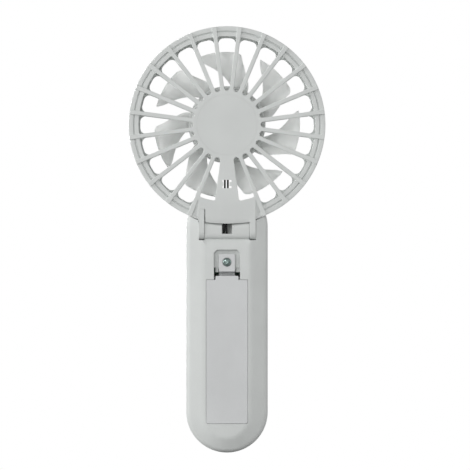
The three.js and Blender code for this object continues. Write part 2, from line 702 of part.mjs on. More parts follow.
function frontShell() {
  const split = -GAP / 2;
  const outer = handleBody([[HANDLE_FRONT, 3.2], [-11.3, 1.2], [-10.2, 0.3], [-9.2, 0], [split, 0]]);
  const hollow = handleBody([[HANDLE_FRONT + WALL, 3.7], [-8.7, WALL], [PAST, WALL]]);
  let shell = join(cut(outer, hollow), outer.intersect(crownWall(-12, split)));
  const bosses = shellScrewPlaces().map(([x, z]) => rod(2.2, 'y', [-10.5, -9.1], [x, 0, z], 16));
  const posts = boardScrewPlaces().map(([x, z]) => rod(1.8, 'y', [-10.5, BOARD_FRONT_Y - 0.2], [x, 0, z], 16));
  shell = join(shell, ...bosses, ...posts);
  return cut(
    shell,
    rod(FRONT_CRADLE_R, 'y', [-20, 0], [0, 0, HUB_Z], RING_STEPS),
    rod(BUTTON_R + 0.25, 'y', [-20, -10], [0, 0, BUTTON_Z], 40),
    rod(1.4, 'y', [-20, -10], [0, 0, LAMP_Z], 20),
    block([17, 21], [SOCKET_Y - 1.95, SOCKET_Y + 1.95], [SOCKET_Z - 4.8, SOCKET_Z + 4.8]),
    ...shellScrewPlaces().map(([x, z]) => rod(0.95, 'y', [-11.3, -8], [x, 0, z], 12)),
    ...boardScrewPlaces().map(([x, z]) => rod(0.95, 'y', [-10.8, -5], [x, 0, z], 12)),
  );
}

// ---- battery and its door ------------------------------------------------------------------

function batteryCell() {
  const low = 17.5;
  const high = low + CELL_LENGTH;
  const profile = [
    [0, low], [CELL_R - 0.5, low], [CELL_R, low + 0.5], [CELL_R, high - 1.7], [CELL_R - 0.5, high - 1.2],
    [3, high - 1.2], [2.7, high], [0, high],
  ];
  const body = turned(profile, 'z', [0, 0, 0], ROUND_STEPS);
  return body.translate([0, CELL_Y, 0]);
}

/** The flat contact at the cell's button end, with the tab that goes out to its lead. */
function positiveContact() {
  return join(block([-5, 5], [-6, 6.5], [82.75, 83.05]), block([-5, 11.9], [-5.9, -2.1], [82.75, 83.05]));
}

/** The cone spring at the cell's other end, on its plate. */
function negativeContact() {
  const turns = 2.5;
  const steps = 36;
  const points = [];
  for (let i = 0; i <= steps; i++) {
    const along = i / steps;
    const angle = 2 * Math.PI * turns * along;
    const r = 5.2 - 2.4 * along;
    points.push([r * Math.cos(angle), CELL_Y + r * Math.sin(angle), 14.75 + 2.15 * along]);
  }
  return join(
    wire(points, 0.35, 40, 5),
    block([-6, 6], [-5, 8], [14.4, 14.75]),
    block([-6, 11.9], [-5.9, -2.1], [14.4, 14.75]),
  );
}

function batteryDoor() {
  const inner = HANDLE_BACK - DOOR_THICK;
  const corner = 1.0;
  const outline = [
    ...arc(-DOOR_HALF + corner, DOOR_LOW + corner, corner, corner, 180, 270, 4),
    ...arc(DOOR_HALF - corner, DOOR_LOW + corner, corner, corner, 270, 360, 4),
    [DOOR_HALF, DOOR_HIGH],
    [-DOOR_HALF, DOOR_HIGH],
  ];
  const springProfile = [
    [inner, DOOR_HIGH - 1], [inner, 84.1], [7.6, 84.1], [7.6, 88.5], [11.1, 88.5], [11.1, TAB_HIGH],
    [12.4, TAB_HIGH], [12.4, TAB_LOW], [8.8, TAB_LOW], [8.8, 85.3], [HANDLE_BACK, 85.3],
    [HANDLE_BACK, DOOR_HIGH - 1],
  ];
  const latch = sidePlate(springProfile, [-5.5, 5.5]);
  const narrow = [
    block([TAB_HALF, 7], [7, 14], [85.3, 98]),
    block([-7, -TAB_HALF], [7, 14], [85.3, 98]),
  ];
  const ribs = [-4, 4].map((x) => block([x - 0.4, x + 0.4], [inner - 0.25, inner + 0.5], [20, 78]));
  return cut(
    join(slab(outline, [inner, HANDLE_BACK]), cut(latch, ...narrow), ...ribs),
    rod(2.25, 'y', [11.8, 14], [0, 0, DOOR_SCREW_Z], 28),
    rod(1.3, 'y', [10, 13], [0, 0, DOOR_SCREW_Z], 16),
  );
}

// ---- controls ------------------------------------------------------------------------------

function boardScrewPlaces() {
  return [[-12.5, 104], [12.5, 104]];
}

function circuitBoard() {
  const [front, back] = [BOARD_FRONT_Y, BOARD_FRONT_Y + BOARD_THICK];
  const outline = [
    [-15.5, 86], [15.5, 86],
    ...arc(0, HUB_Z, 51, 51, 288, 252, 8),
  ];
  const board = join(
    slab(outline, [front, back]),
    block([-9, -4], [back - 0.2, back + 1.2], [96, 101]),
    block([-12, -9.5], [back - 0.2, back + 0.9], [88, 92]),
    block([3, 7], [back - 0.2, back + 1.4], [99.5, 103]),
    block([-6, -2], [back - 0.2, back + 0.8], [88, 90.5]),
  );
  const through = [front - 2, back + 2];
  return cut(board, ...boardScrewPlaces().map(([x, z]) => rod(1.25, 'y', through, [x, 0, z], 16)));
}

function tactSwitch() {
  return join(
    block([-3, 3], [-8.0, BOARD_FRONT_Y - 0.15], [BUTTON_Z - 3, BUTTON_Z + 3]),
    rod(1.7, 'y', [-8.6, -7.8], [0, 0, BUTTON_Z], 20),
  );
}

function powerButton() {
  const centre = [0, 0, BUTTON_Z];
  const profile = [
    [0, -12.6], [BUTTON_R - 1, -12.6], [BUTTON_R, -12.0], [BUTTON_R, -9.95], [BUTTON_R + 1, -9.95],
    [BUTTON_R + 1, -9.25], [0, -9.25],
  ];
  return turned(profile, 'y', centre, 40);
}

function statusLamp() {
  return join(
    block([-1.2, 1.2], [-7.0, BOARD_FRONT_Y - 0.15], [LAMP_Z - 0.5, LAMP_Z + 1.5]),
    rod(0.7, 'y', [-7.4, -6.8], [0, 0, LAMP_Z + 0.4], 12),
  );
}

/** The clear plug that brings the lamp's light to the front face. */
function lampWindow() {
  return join(
    rod(1.15, 'y', [HANDLE_FRONT, -9.8], [0, 0, LAMP_Z], 20),
    rod(1.9, 'y', [-9.95, -8.3], [0, 0, LAMP_Z], 20),
  );
}

/** A charging socket: an open metal sleeve with its tongue, facing +X. */
function chargingSocket() {
  const sleeve = (half, high, r) => [
    ...arc(SOCKET_Y + half - r, SOCKET_Z + high - r, r, r, 0, 90, 4),
    ...arc(SOCKET_Y - half + r, SOCKET_Z + high - r, r, r, 90, 180, 4),
    ...arc(SOCKET_Y - half + r, SOCKET_Z - high + r, r, r, 180, 270, 4),
    ...arc(SOCKET_Y + half - r, SOCKET_Z - high + r, r, r, 270, 360, 4),
  ];
  return join(
    cut(sidePlate(sleeve(1.6, 4.47, 1.55), [12, 19.3]), sidePlate(sleeve(1.3, 4.17, 1.25), [13, 20])),
    block([12.5, 18.5], [SOCKET_Y - 0.35, SOCKET_Y + 0.35], [SOCKET_Z - 3.3, SOCKET_Z + 3.3]),
  );
}

// ---- leads ---------------------------------------------------------------------------------

/** The half of a motor lead in the head: motor, arm channel, ring wall, down to the hinge axis. */
function upperLead(atTerminal, atWindow, atHinge) {
  return wire([
    [atTerminal, 11.1, 149.6],
    [atTerminal * 0.7, 11.0, 146.2],
    [atWindow, 10.5, 143.2],
    [atWindow, 10.2, 138],
    [atWindow, 10.2, 127],
    [(atWindow + atHinge) / 2, 10.0, 120],
    [atHinge, 9.4, 113],
    [atHinge, HINGE_Y, HINGE_Z + LEAD_END],
  ], LEAD_R, 22);
}

/** The half of a motor lead in the handle: hinge axis, well behind the lip, circuit board. */
function lowerLead(atHinge, atLip, atBoard) {
  return wire([
    [atHinge, HINGE_Y, HINGE_Z - LEAD_END],
    [atLip, 8.6, 105],
    [atLip, 8.0, 101],
    [atLip, 7.6, 97.6],
    [(atLip + atBoard) / 2, 4, 95.6],
    [atBoard, -1, 95.4],
    [atBoard, -4.3, 95.4],
  ], LEAD_R, 20);
}

/** A lead from a battery contact along the side of the trough to the circuit board. */
function batteryLead(fromZ, side) {
  return wire([
    [12.35, -4, fromZ],
    [13.2, -3.6, fromZ + 1.2],
    [13.6 + side, -2.8, (fromZ + 84) / 2],
    [13.4 + side, -2.6, 84],
    [10.4 + side, -3.2, 87.2],
    [8.6 + side, -4.3, 88.6],
  ], BATTERY_LEAD_R, 22);
}

// ---- assembly ------------------------------------------------------------------------------

addPart('rear_grille', rearGrille(), 'shell_plastic');
addPart('front_grille', frontGrille(), 'shell_plastic');
addPart('hinge_cheek', hingeCheek(), 'shell_plastic');
addPart('rear_cap', cap(1), 'shell_plastic');
addPart('front_cap', cap(-1), 'shell_plastic');
addPart('lead_cover', leadCover(), 'shell_plastic');
addPart('motor_can', motorCan(), 'zinc_steel');
addPart('motor_magnet', motorMagnet(), 'magnet');
addPart('motor_end_cap', motorEndCap(), 'black_plastic');
motorScrewPlaces().forEach(([x, z], i) => {
  addPart(`motor_screw_${i + 1}`, screw(1.7, 0.9, 0.9, 2.3, [x, POD_FLOOR_Y - 0.1, z], -1), 'zinc_steel');
});
addPart('cheek_screw', screw(1.7, 0.9, 0.85, 6.3, [CHEEK_SCREW_X, 2.55, CHEEK_SCREW_Z], -1), 'zinc_steel');
addPart('motor_lead_upper_1', upperLead(3, 1.05, 1.5), 'lead_sleeve');
addPart('motor_lead_upper_2', upperLead(-3, -0.4, 0.3), 'lead_sleeve');

addPart('impeller', impeller(), 'shell_plastic');
addPart('motor_shaft', motorShaft(), 'zinc_steel');
addPart('motor_armature', motorArmature(), 'copper');

addPart('rear_shell', rearShell(), 'shell_plastic');
addPart('front_shell', frontShell(), 'shell_plastic');
addPart('battery_cell', batteryCell(), 'cell_wrap');
addPart('positive_contact', positiveContact(), 'nickel');
addPart('negative_contact', negativeContact(), 'nickel');
addPart('circuit_board', circuitBoard(), 'circuit_green');
addPart('tact_switch', tactSwitch(), 'black_plastic');
addPart('charging_socket', chargingSocket(), 'nickel');
addPart('status_lamp', statusLamp(), 'clear_plastic');
addPart('lamp_window', lampWindow(), 'clear_plastic');
shellScrewPlaces().forEach(([x, z], i) => {
  addPart(`shell_screw_${i + 1}`, screw(1.75, 1.1, 0.8, 3.6, [x, -7.45, z], 1), 'zinc_steel');
});
boardScrewPlaces().forEach(([x, z], i) => {
  const underHead = BOARD_FRONT_Y + BOARD_THICK + 0.1;
  addPart(`board_screw_${i + 1}`, screw(1.7, 0.9, 0.75, 5.4, [x, underHead, z], 1), 'zinc_steel');
});
addPart('motor_lead_lower_1', lowerLead(1.5, 1.75, 1.6), 'lead_sleeve');
addPart('motor_lead_lower_2', lowerLead(0.3, -0.1, -0.2), 'lead_sleeve');
addPart('battery_lead_positive', batteryLead(83.0, 0), 'lead_sleeve');
addPart('battery_lead_negative', batteryLead(14.6, 1.6), 'lead_sleeve');

addPart('battery_door', batteryDoor(), 'door_plastic');
addPart('door_screw', screw(2.0, 1.1, 0.75, 5.6, [0, 11.9, DOOR_SCREW_Z], 1), 'zinc_steel');
addPart('power_button', powerButton(), 'button_plastic');

export default fan;
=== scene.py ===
"""Looks of the handheld fan: finer pieces, materials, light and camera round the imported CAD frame.

Shapes are worked out in millimetres and written as metres. +Z runs up the handle, the back with the
battery door faces +Y, and the camera looks at that back.
"""
import json
import math

import bmesh
import bpy
from mathutils import Matrix, Vector


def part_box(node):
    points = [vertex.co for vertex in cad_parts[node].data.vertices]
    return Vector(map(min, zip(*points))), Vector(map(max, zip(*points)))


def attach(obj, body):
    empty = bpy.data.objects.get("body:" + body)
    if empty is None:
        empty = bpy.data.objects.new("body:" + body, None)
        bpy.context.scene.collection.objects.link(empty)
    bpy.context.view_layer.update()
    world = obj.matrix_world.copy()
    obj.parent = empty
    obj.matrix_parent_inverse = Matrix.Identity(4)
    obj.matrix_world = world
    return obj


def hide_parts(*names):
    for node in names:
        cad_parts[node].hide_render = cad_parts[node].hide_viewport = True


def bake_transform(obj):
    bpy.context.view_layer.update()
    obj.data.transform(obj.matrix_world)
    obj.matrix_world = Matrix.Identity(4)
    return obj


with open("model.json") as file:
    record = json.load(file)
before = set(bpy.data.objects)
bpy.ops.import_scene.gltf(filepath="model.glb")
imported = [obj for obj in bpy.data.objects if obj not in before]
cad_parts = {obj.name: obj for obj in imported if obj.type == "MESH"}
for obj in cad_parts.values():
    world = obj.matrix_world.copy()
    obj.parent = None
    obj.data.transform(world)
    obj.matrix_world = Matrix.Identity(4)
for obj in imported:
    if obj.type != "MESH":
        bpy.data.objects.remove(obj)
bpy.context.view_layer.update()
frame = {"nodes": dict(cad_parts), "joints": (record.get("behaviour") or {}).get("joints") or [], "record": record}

MM = 0.001


def box_mm(node):
    """A CAD node's low and high corners, in millimetres."""
    low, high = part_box(node)
    return low / MM, high / MM


# ---- places and sizes read from the frame, in millimetres ------------------------------------

SHAFT_BOX = box_mm("motor_shaft")
HUB_Z = (SHAFT_BOX[0].z + SHAFT_BOX[1].z) / 2
HUB = (0.0, 0.0, HUB_Z)
HEAD_R = box_mm("front_grille")[1].x
HEAD_BACK = box_mm("rear_grille")[1].y
CAP_R = box_mm("rear_cap")[1].x
CAP_THICK = HEAD_BACK - box_mm("rear_cap")[0].y
IMPELLER_BOX = box_mm("impeller")
HANDLE_HALF = box_mm("rear_shell")[1].x
HANDLE_BACK = box_mm("rear_shell")[1].y
HANDLE_FRONT = box_mm("front_shell")[0].y
DOOR_BOX = box_mm("battery_door")
DOOR_HALF = DOOR_BOX[1].x
DOOR_LOW = DOOR_BOX[0].z
TAB_HIGH = DOOR_BOX[1].z
SCREW_BOX = box_mm("door_screw")
SCREW_Z = (SCREW_BOX[0].z + SCREW_BOX[1].z) / 2
SCREW_R = SCREW_BOX[1].x
BUTTON_BOX = box_mm("power_button")
BUTTON_Z = (BUTTON_BOX[0].z + BUTTON_BOX[1].z) / 2
LAMP_BOX = box_mm("lamp_window")
LAMP_Z = (LAMP_BOX[0].z + LAMP_BOX[1].z) / 2
SOCKET_BOX = box_mm("charging_socket")
FOLD = next(joint for joint in frame["joints"] if joint["name"] == "head_fold")
HINGE_Y = FOLD["pos_m"][1] / MM
HINGE_Z = FOLD["pos_m"][2] / MM
CHEEK_TOP = box_mm("hinge_cheek")[1].z

# ---- the rest of the design, in millimetres --------------------------------------------------

BAR_COUNT = 24
PITCH = 360 / BAR_COUNT
BAR_HALF = 1.0
BAR_HALF_ON_RING = 1.2
GRILLE_THICK = 2.2
RING_WALL = 1.8
RIM_INNER_R = HEAD_R - 2.3
BAND_OUTER_R = HEAD_R - 2.9
BAR_END_R = HEAD_R - 0.05
REAR_OPENING_R = 42.6
REAR_OPENING_CORNER = 0.8
FRONT_OPENING_R = 42.0
FRONT_OPENING_CORNER = 2.6
RIM_DROP = 0.8
BAND_DROP = 0.95
GROOVE_DROP = 1.7
OPENING_INNER_R = 16.4
PLATE_TOP_R = 37.2
PLATE_HALF = 13.9
PLATE_FOOT_Z = 110.55
PLATE_FOOT_BOW = 0.0056
POD_R = 13.8
POD_BORE_R = 12.5
POD_FLOOR_Y = -4.0
SPLIT = 0.15
EDGE = 0.3
KNUCKLE_R = 4.0
KNUCKLE_ROOM_R = 4.9
KNUCKLE_IN = 2.45
KNUCKLE_OUT = 10.8
SLOT_IN = 10.45
EAR_R = 4.5
EAR_FOOT = 4.3
EAR_IN = 10.9
CHEEK_OUT = 13.5
PEG_R = 1.9
POCKET_FLOOR_Z = 102.55
CRADLE_R = 47.6
FRONT_CRADLE_R = 47.62
SHOULDER_Z = 109.0
ABOVE_CRADLE = 119.0
BAND_SIDE = 8.35
BAND_END = 6.9
WALL = 1.8
DOOR_THICK = 1.6
DOOR_HIGH = 83.4
TONGUE_HIGH = 85.3
TONGUE_HALF = 5.5
TAB_LOW = 87.3
TAB_HALF = 3.93
TAB_Y = 12.6
SLOT_HIGH = 89.3
LATCH_HALF = 6.3
LATCH_TOP = 97.9
LATCH_FLOOR = 10.55
SEAM = 0.12
LEAD_R = 0.48
WINDOW_HALF = 2.2
WINDOW_Z = (127.6, 131.6)
IMPELLER_HUB_R = 18.6
IMPELLER_WALL = 1.2
BLADE_COUNT = 7
BLADE_FIRST_TIP = 14.2


# ---- stage, light and camera -----------------------------------------------------------------

PICTURE_WIDTH_MM = 226.76
PICTURE_CENTRE = (-3.87, 105.03)
LENS = 1000.0
SENSOR = 36.0


def make_camera():
    """A long lens straight behind the fan, level, framed with the fan a little above the middle."""
    data = bpy.data.cameras.new("camera")
    data.lens = LENS
    data.sensor_width = SENSOR
    camera = bpy.data.objects.new("camera", data)
    bpy.context.scene.collection.objects.link(camera)
    distance = PICTURE_WIDTH_MM * LENS / SENSOR
    x, z = PICTURE_CENTRE
    camera.location = Vector((x, HEAD_BACK + distance, z)) * MM
    camera.rotation_euler = (math.radians(90), 0, math.radians(180))
    data.clip_start = 0.05
    data.clip_end = 60
    bpy.context.scene.camera = camera


def area_light(name, place, target, size, power):
    """A soft square light at place, aimed at target, both in metres."""
    data = bpy.data.lights.new(name, "AREA")
    data.size = size
    data.energy = power
    light = bpy.data.objects.new(name, data)
    light.location = place
    aim = Vector(target) - Vector(place)
    light.rotation_euler = aim.to_track_quat("-Z", "Y").to_euler()
    bpy.context.scene.collection.objects.link(light)


def white_when_seen(tree, shader_socket, output):
    """Shows plain white to the camera, and the given shader to every other ray."""
    path = tree.nodes.new("ShaderNodeLightPath")
    white = tree.nodes.new("ShaderNodeEmission")
    mix = tree.nodes.new("ShaderNodeMixShader")
    tree.links.new(path.outputs["Is Camera Ray"], mix.inputs[0])
    tree.links.new(shader_socket, mix.inputs[1])
    tree.links.new(white.outputs[0], mix.inputs[2])
    tree.links.new(mix.outputs[0], output.inputs["Surface"])


def make_world():
    """An even pale surround: white where the camera sees it, dimmer as light."""
    world = bpy.data.worlds.new("studio")
    world.use_nodes = True
    tree = world.node_tree
    tree.nodes.clear()
    lighting = tree.nodes.new("ShaderNodeBackground")
    lighting.inputs["Color"].default_value = (1, 1, 1, 1)
    lighting.inputs["Strength"].default_value = 0.39
    white_when_seen(tree, lighting.outputs[0], tree.nodes.new("ShaderNodeOutputWorld"))
    bpy.context.scene.world = world


def make_floor():
    """A plain pale floor under the fan's round end."""
    bpy.ops.mesh.primitive_circle_add(vertices=96, radius=3.0, fill_type="NGON", location=(0, 0, -0.0002))
    floor = bpy.context.object
    floor.name = "floor"
    material = bpy.data.materials.new("pale_floor")
    material.use_nodes = True
    tree = material.node_tree
    shader = tree.nodes["Principled BSDF"]
    shader.inputs["Base Color"].default_value = (0.4, 0.4, 0.4, 1)
    shader.inputs["Roughness"].default_value = 0.9
    white_when_seen(tree, shader.outputs[0], tree.nodes["Material Output"])
    floor.data.materials.append(material)


make_camera()
make_world()
make_floor()
area_light("key", (1.6, 0.45, 0.55), (0, 0, 0.12), 0.9, 13.7)
area_light("front_fill", (0.3, 1.5, 0.4), (0, 0, 0.11), 0.7, 5.9)
area_light("side_fill", (-1.5, 0.5, 0.4), (0, 0, 0.12), 0.7, 2.8)
area_light("through_cage", (0.24, -0.6, 0.24), (0, 0, 0.16), 0.3, 3.6)
bpy.context.scene.view_settings.view_transform = "Standard"


# ---- materials -------------------------------------------------------------------------------

def new_material(name):
    """An empty material with its output and main shader, and a function that adds nodes."""
    material = bpy.data.materials.new(name)
    material.use_nodes = True
    tree = material.node_tree
    shader = tree.nodes["Principled BSDF"]

    def add(kind, **values):
        node = tree.nodes.new(kind)
        for key, value in values.items():
            if key in node.inputs:
                node.inputs[key].default_value = value
            else:
                setattr(node, key, value)
        return node

    return material, tree.links, shader, add


def noise(add, links, scale, detail=2.0):
    """Noise that is fixed to the object, with scale in features per metre."""
    place = add("ShaderNodeTexCoord")
    texture = add("ShaderNodeTexNoise", Scale=scale, Detail=detail)
    links.new(place.outputs["Object"], texture.inputs["Vector"])
    return texture.outputs["Fac"]


def ramp(add, links, value, low, high):
    """Maps the middle part of a noise value onto a range, for roughness."""
    node = add("ShaderNodeMapRange")
    node.inputs["From Min"].default_value = 0.3
    node.inputs["From Max"].default_value = 0.7
    node.inputs["To Min"].default_value = low
    node.inputs["To Max"].default_value = high
    links.new(value, node.inputs["Value"])
    return node.outputs["Result"]


def tint(add, links, value, dark, light):
    """A colour between two tints, by a value."""
    node = add("ShaderNodeValToRGB")
    node.color_ramp.elements[0].position = 0.35
    node.color_ramp.elements[1].position = 0.65
    node.color_ramp.elements[0].color = (*dark, 1)
    node.color_ramp.elements[1].color = (*light, 1)
    links.new(value, node.inputs["Fac"])
    return node.outputs["Color"]


def bump(add, links, height, distance, strength=1.0, below=None):
    """A bump from a height value, in metres, laid over another bump if one is given."""
    node = add("ShaderNodeBump", Strength=strength, Distance=distance)
    links.new(height, node.inputs["Height"])
    if below is not None:
        links.new(below, node.inputs["Normal"])
    return node.outputs["Normal"]


def feed(links, shader, colour, rough=None, normal=None):
    """Joins the colour, the roughness and the bump to the shader."""
    for value, name in ((colour, "Base Color"), (rough, "Roughness"), (normal, "Normal")):
        if value is not None:
            links.new(value, shader.inputs[name])


def plastic(name, colour, rough=(0.42, 0.54), grain=0.000012, spread=0.025):
    """Moulded plastic: a fine spark-eroded grain over a slow mottle in tint and gloss."""
    material, links, shader, add = new_material(name)
    dark = tuple(c * (1 - spread) for c in colour)
    light = tuple(c * (1 + spread) for c in colour)
    ripple = bump(add, links, noise(add, links, 120, 1), 0.00004, 0.25)
    feed(
        links, shader,
        tint(add, links, noise(add, links, 45, 3), dark, light),
        ramp(add, links, noise(add, links, 260, 3), *rough),
        bump(add, links, noise(add, links, 5200), grain, 0.6, ripple),
    )
    shader.inputs["IOR"].default_value = 1.5
    return material


def metal(name, colour, rough=(0.25, 0.45), metallic=1.0):
    """Plated or bare metal with a fine uneven grain."""
    material, links, shader, add = new_material(name)
    dark = tuple(c * 0.85 for c in colour)
    feed(
        links, shader,
        tint(add, links, noise(add, links, 350, 4), dark, colour),
        ramp(add, links, noise(add, links, 1800, 3), *rough),
        bump(add, links, noise(add, links, 1800), 0.00001, 0.4),
    )
    shader.inputs["Metallic"].default_value = metallic
    return material


def windings():
    """Enamelled copper wire laid side by side."""
    material, links, shader, add = new_material("copper_windings")
    place = add("ShaderNodeTexCoord")
    wave = add("ShaderNodeTexWave", Scale=900, Distortion=0.6)
    wave.bands_direction = "Y"
    links.new(place.outputs["Object"], wave.inputs["Vector"])
    rows = wave.outputs["Fac"]
    colour = tint(add, links, rows, (0.25, 0.09, 0.04), (0.68, 0.30, 0.14))
    feed(links, shader, colour, normal=bump(add, links, rows, 0.00008))
    shader.inputs["Metallic"].default_value = 0.8
    shader.inputs["Roughness"].default_value = 0.35
    return material


def circuit():
    """Solder mask with faint traces under it."""
    material, links, shader, add = new_material("solder_mask")
    place = add("ShaderNodeTexCoord")
    pattern = add("ShaderNodeTexBrick", Scale=420)
    pattern.inputs["Mortar Size"].default_value = 0.06
    links.new(place.outputs["Object"], pattern.inputs["Vector"])
    traces = pattern.outputs["Fac"]
    feed(
        links, shader,
        tint(add, links, traces, (0.012, 0.10, 0.05), (0.03, 0.2, 0.09)),
        ramp(add, links, noise(add, links, 600), 0.3, 0.45),
        bump(add, links, traces, 0.00003),
    )
    return material


def sleeve():
    """Soft black lead insulation with a faint ripple along it."""
    material, links, shader, add = new_material("lead_sleeve")
    feed(
        links, shader,
        tint(add, links, noise(add, links, 900), (0.004, 0.004, 0.005), (0.011, 0.011, 0.012)),
        ramp(add, links, noise(add, links, 2500), 0.4, 0.6),
        bump(add, links, noise(add, links, 1500), 0.00003, 0.5),
    )
    return material


def cell_wrap():
    """The heat-shrunk sleeve of the cell, with slight puckers."""
    material, links, shader, add = new_material("cell_wrap")
    feed(
        links, shader,
        tint(add, links, noise(add, links, 60, 3), (0.02, 0.12, 0.36), (0.03, 0.16, 0.44)),
        ramp(add, links, noise(add, links, 500), 0.25, 0.4),
        bump(add, links, noise(add, links, 220, 3), 0.00012, 0.5),
    )
    return material


def clear_plastic():
    """Frosted clear plastic for the lamp and its window."""
    material, links, shader, add = new_material("frosted_clear")
    feed(
        links, shader,
        tint(add, links, noise(add, links, 900), (0.74, 0.8, 0.8), (0.86, 0.9, 0.9)),
        ramp(add, links, noise(add, links, 2500), 0.25, 0.45),
    )
    shader.inputs["Transmission Weight"].default_value = 0.6
    shader.inputs["IOR"].default_value = 1.49
    return material


def glowing_plastic(name, colour):
    """The thin moulded plastic of the blades, which lets a part of the light through."""
    material = plastic(name, colour, rough=(0.36, 0.48), grain=0.000008)
    tree = material.node_tree
    shader, output = tree.nodes["Principled BSDF"], tree.nodes["Material Output"]
    through = tree.nodes.new("ShaderNodeBsdfTranslucent")
    through.inputs["Color"].default_value = (*colour, 1)
    mix = tree.nodes.new("ShaderNodeMixShader")
    mix.inputs[0].default_value = PASSED_LIGHT
    tree.links.new(shader.outputs[0], mix.inputs[1])
    tree.links.new(through.outputs[0], mix.inputs[2])
    tree.links.new(mix.outputs[0], output.inputs["Surface"])
    return material


SHELL_TINT = (0.735, 0.758, 0.744)
DOOR_TINT = (0.728, 0.742, 0.745)
PASSED_LIGHT = 0.72

FINISHES = {
    "shell_plastic": plastic("shell_plastic", SHELL_TINT),
    # The blades get a near-white base colour, well above the shell's tint: this is painted light that lifts them
    # out of the shade inside the cage.
    "impeller_plastic": glowing_plastic("impeller_plastic", (0.93, 0.935, 0.93)),
    "door_plastic": plastic("door_plastic", DOOR_TINT),
    "button_plastic": plastic("button_plastic", (0.62, 0.63, 0.625), rough=(0.25, 0.36), grain=0.000006),
    "zinc_steel": metal("zinc_steel", (0.33, 0.42, 0.40)),
    "nickel": metal("nickel", (0.66, 0.63, 0.57), rough=(0.2, 0.35)),
    "copper": windings(),
    "magnet": metal("magnet", (0.06, 0.06, 0.065), rough=(0.6, 0.8), metallic=0.1),
    "black_plastic": plastic("black_plastic", (0.02, 0.02, 0.022), rough=(0.4, 0.6), spread=0.15),
    "circuit_green": circuit(),
    "cell_wrap": cell_wrap(),
    "clear_plastic": clear_plastic(),
    "lead_sleeve": sleeve(),
}


# ---- outlines --------------------------------------------------------------------------------

def arc(cx, cy, rx, ry, start, end, steps):
    """Points on a circle or ellipse, in degrees anticlockwise."""
    points = []
    for i in range(steps + 1):
        angle = math.radians(start + (end - start) * i / steps)
        points.append((cx + rx * math.cos(angle), cy + ry * math.sin(angle)))
    return points


def around(r, degrees, side=0.0):
    """A point at radius r on a ray from the hub, moved sideways off the ray, in X and Z."""
    c, s = math.cos(math.radians(degrees)), math.sin(math.radians(degrees))
    return (r * c - side * s, HUB_Z + r * s + side * c)


def soften(points, radius, steps=3, closed=True):
    """The same outline with each corner rounded, by up to radius along its edges."""
    result = []
    count = len(points)
    for i, corner in enumerate(points):
        if not closed and i in (0, count - 1):
            result.append(corner)
            continue
        here = Vector(corner)
        before = Vector(points[i - 1]) - here
        after = Vector(points[(i + 1) % count]) - here
        reach = min(radius, before.length * 0.45, after.length * 0.45)
        start = here + before.normalized() * reach
        end = here + after.normalized() * reach
        for k in range(steps + 1):
            t = k / steps
            point = start * (1 - t) ** 2 + here * (2 * t * (1 - t)) + end * t ** 2
            result.append((point.x, point.y))
    return result


def shift_in(loop, distance):
    """A closed anticlockwise loop moved inwards by distance, with mitred corners."""
    count = len(loop)
    moved = []
    for i in range(count):
        here = Vector(loop[i])
        before = (here - Vector(loop[i - 1])).normalized()
        after = (Vector(loop[(i + 1) % count]) - here).normalized()
        left_before = Vector((-before.y, before.x))
        left_after = Vector((-after.y, after.x))
        mitre = (left_before + left_after) / max(0.3, 1 + left_before.dot(left_after))
        moved.append(tuple(here + mitre * distance))
    return moved


# ---- meshes ----------------------------------------------------------------------------------

def place(axis, u, v, h):
    """A point from two outline coordinates and the height along the named axis, in metres."""
    if axis == "y":
        point = (u, h, v)
    elif axis == "x":
        point = (h, u, v)
    else:
        point = (u, v, h)
    return Vector(point) * MM


def mesh_object(name, points, faces):
    """A closed mesh with its faces turned outward."""
    mesh = bpy.data.meshes.new(name)
    mesh.from_pydata(points, [], faces)
    shape = bmesh.new()
    shape.from_mesh(mesh)
    bmesh.ops.remove_doubles(shape, verts=shape.verts, dist=1e-7)
    bmesh.ops.recalc_face_normals(shape, faces=shape.faces)
    shape.to_mesh(mesh)
    shape.free()
    item = bpy.data.objects.new(name, mesh)
    bpy.context.scene.collection.objects.link(item)
    return item


def skin(sections, axis="y"):
    """A closed skin through matching loops: sections are [(height, loop)]."""
    count = len(sections[0][1])
    points = [place(axis, u, v, h) for h, loop in sections for u, v in loop]
    faces = [tuple(range(count)), tuple(range((len(sections) - 1) * count, len(sections) * count))[::-1]]
    for level in range(len(sections) - 1):
        for i in range(count):
            a = level * count + i
            b = level * count + (i + 1) % count
            faces.append((a, a + count, b + count, b))
    return mesh_object("solid", points, faces)


def edge_levels(low, high, low_edge, high_edge):
    """Levels [(height, inset)] from low to high: a positive edge rounds a solid, a negative flares a cutter."""
    steps = 3
    levels = []
    for i in range(steps + 1):
        angle = math.pi / 2 * i / steps
        levels.append((low + abs(low_edge) * (1 - math.cos(angle)), low_edge * (1 - math.sin(angle))))
    for i in range(steps + 1):
        angle = math.pi / 2 * i / steps
        levels.append((high - abs(high_edge) * (1 - math.sin(angle)), high_edge * (1 - math.cos(angle))))
    tidy = [levels[0]]
    for level in levels[1:]:
        if level[0] - tidy[-1][0] > 1e-4:
            tidy.append(level)
    return tidy


def prism(loop, low, high, low_edge=EDGE, high_edge=EDGE, axis="y"):
    """A loop pushed from low to high along the axis, its two outer edges rounded."""
    levels = edge_levels(low, high, low_edge, high_edge)
    return skin([(h, shift_in(loop, inset) if inset else loop) for h, inset in levels], axis)


def cutter(loop, low, high, edge):
    """A prism that cuts an opening through from low to high and rounds both mouths."""
    past = 2.0
    levels = edge_levels(low, high, -edge, -edge)
    wide = shift_in(loop, -edge)
    sections = [(low - past, wide)]
    sections += [(h, shift_in(loop, inset) if inset else loop) for h, inset in levels]
    sections += [(high + past, wide)]
    return skin(sections)


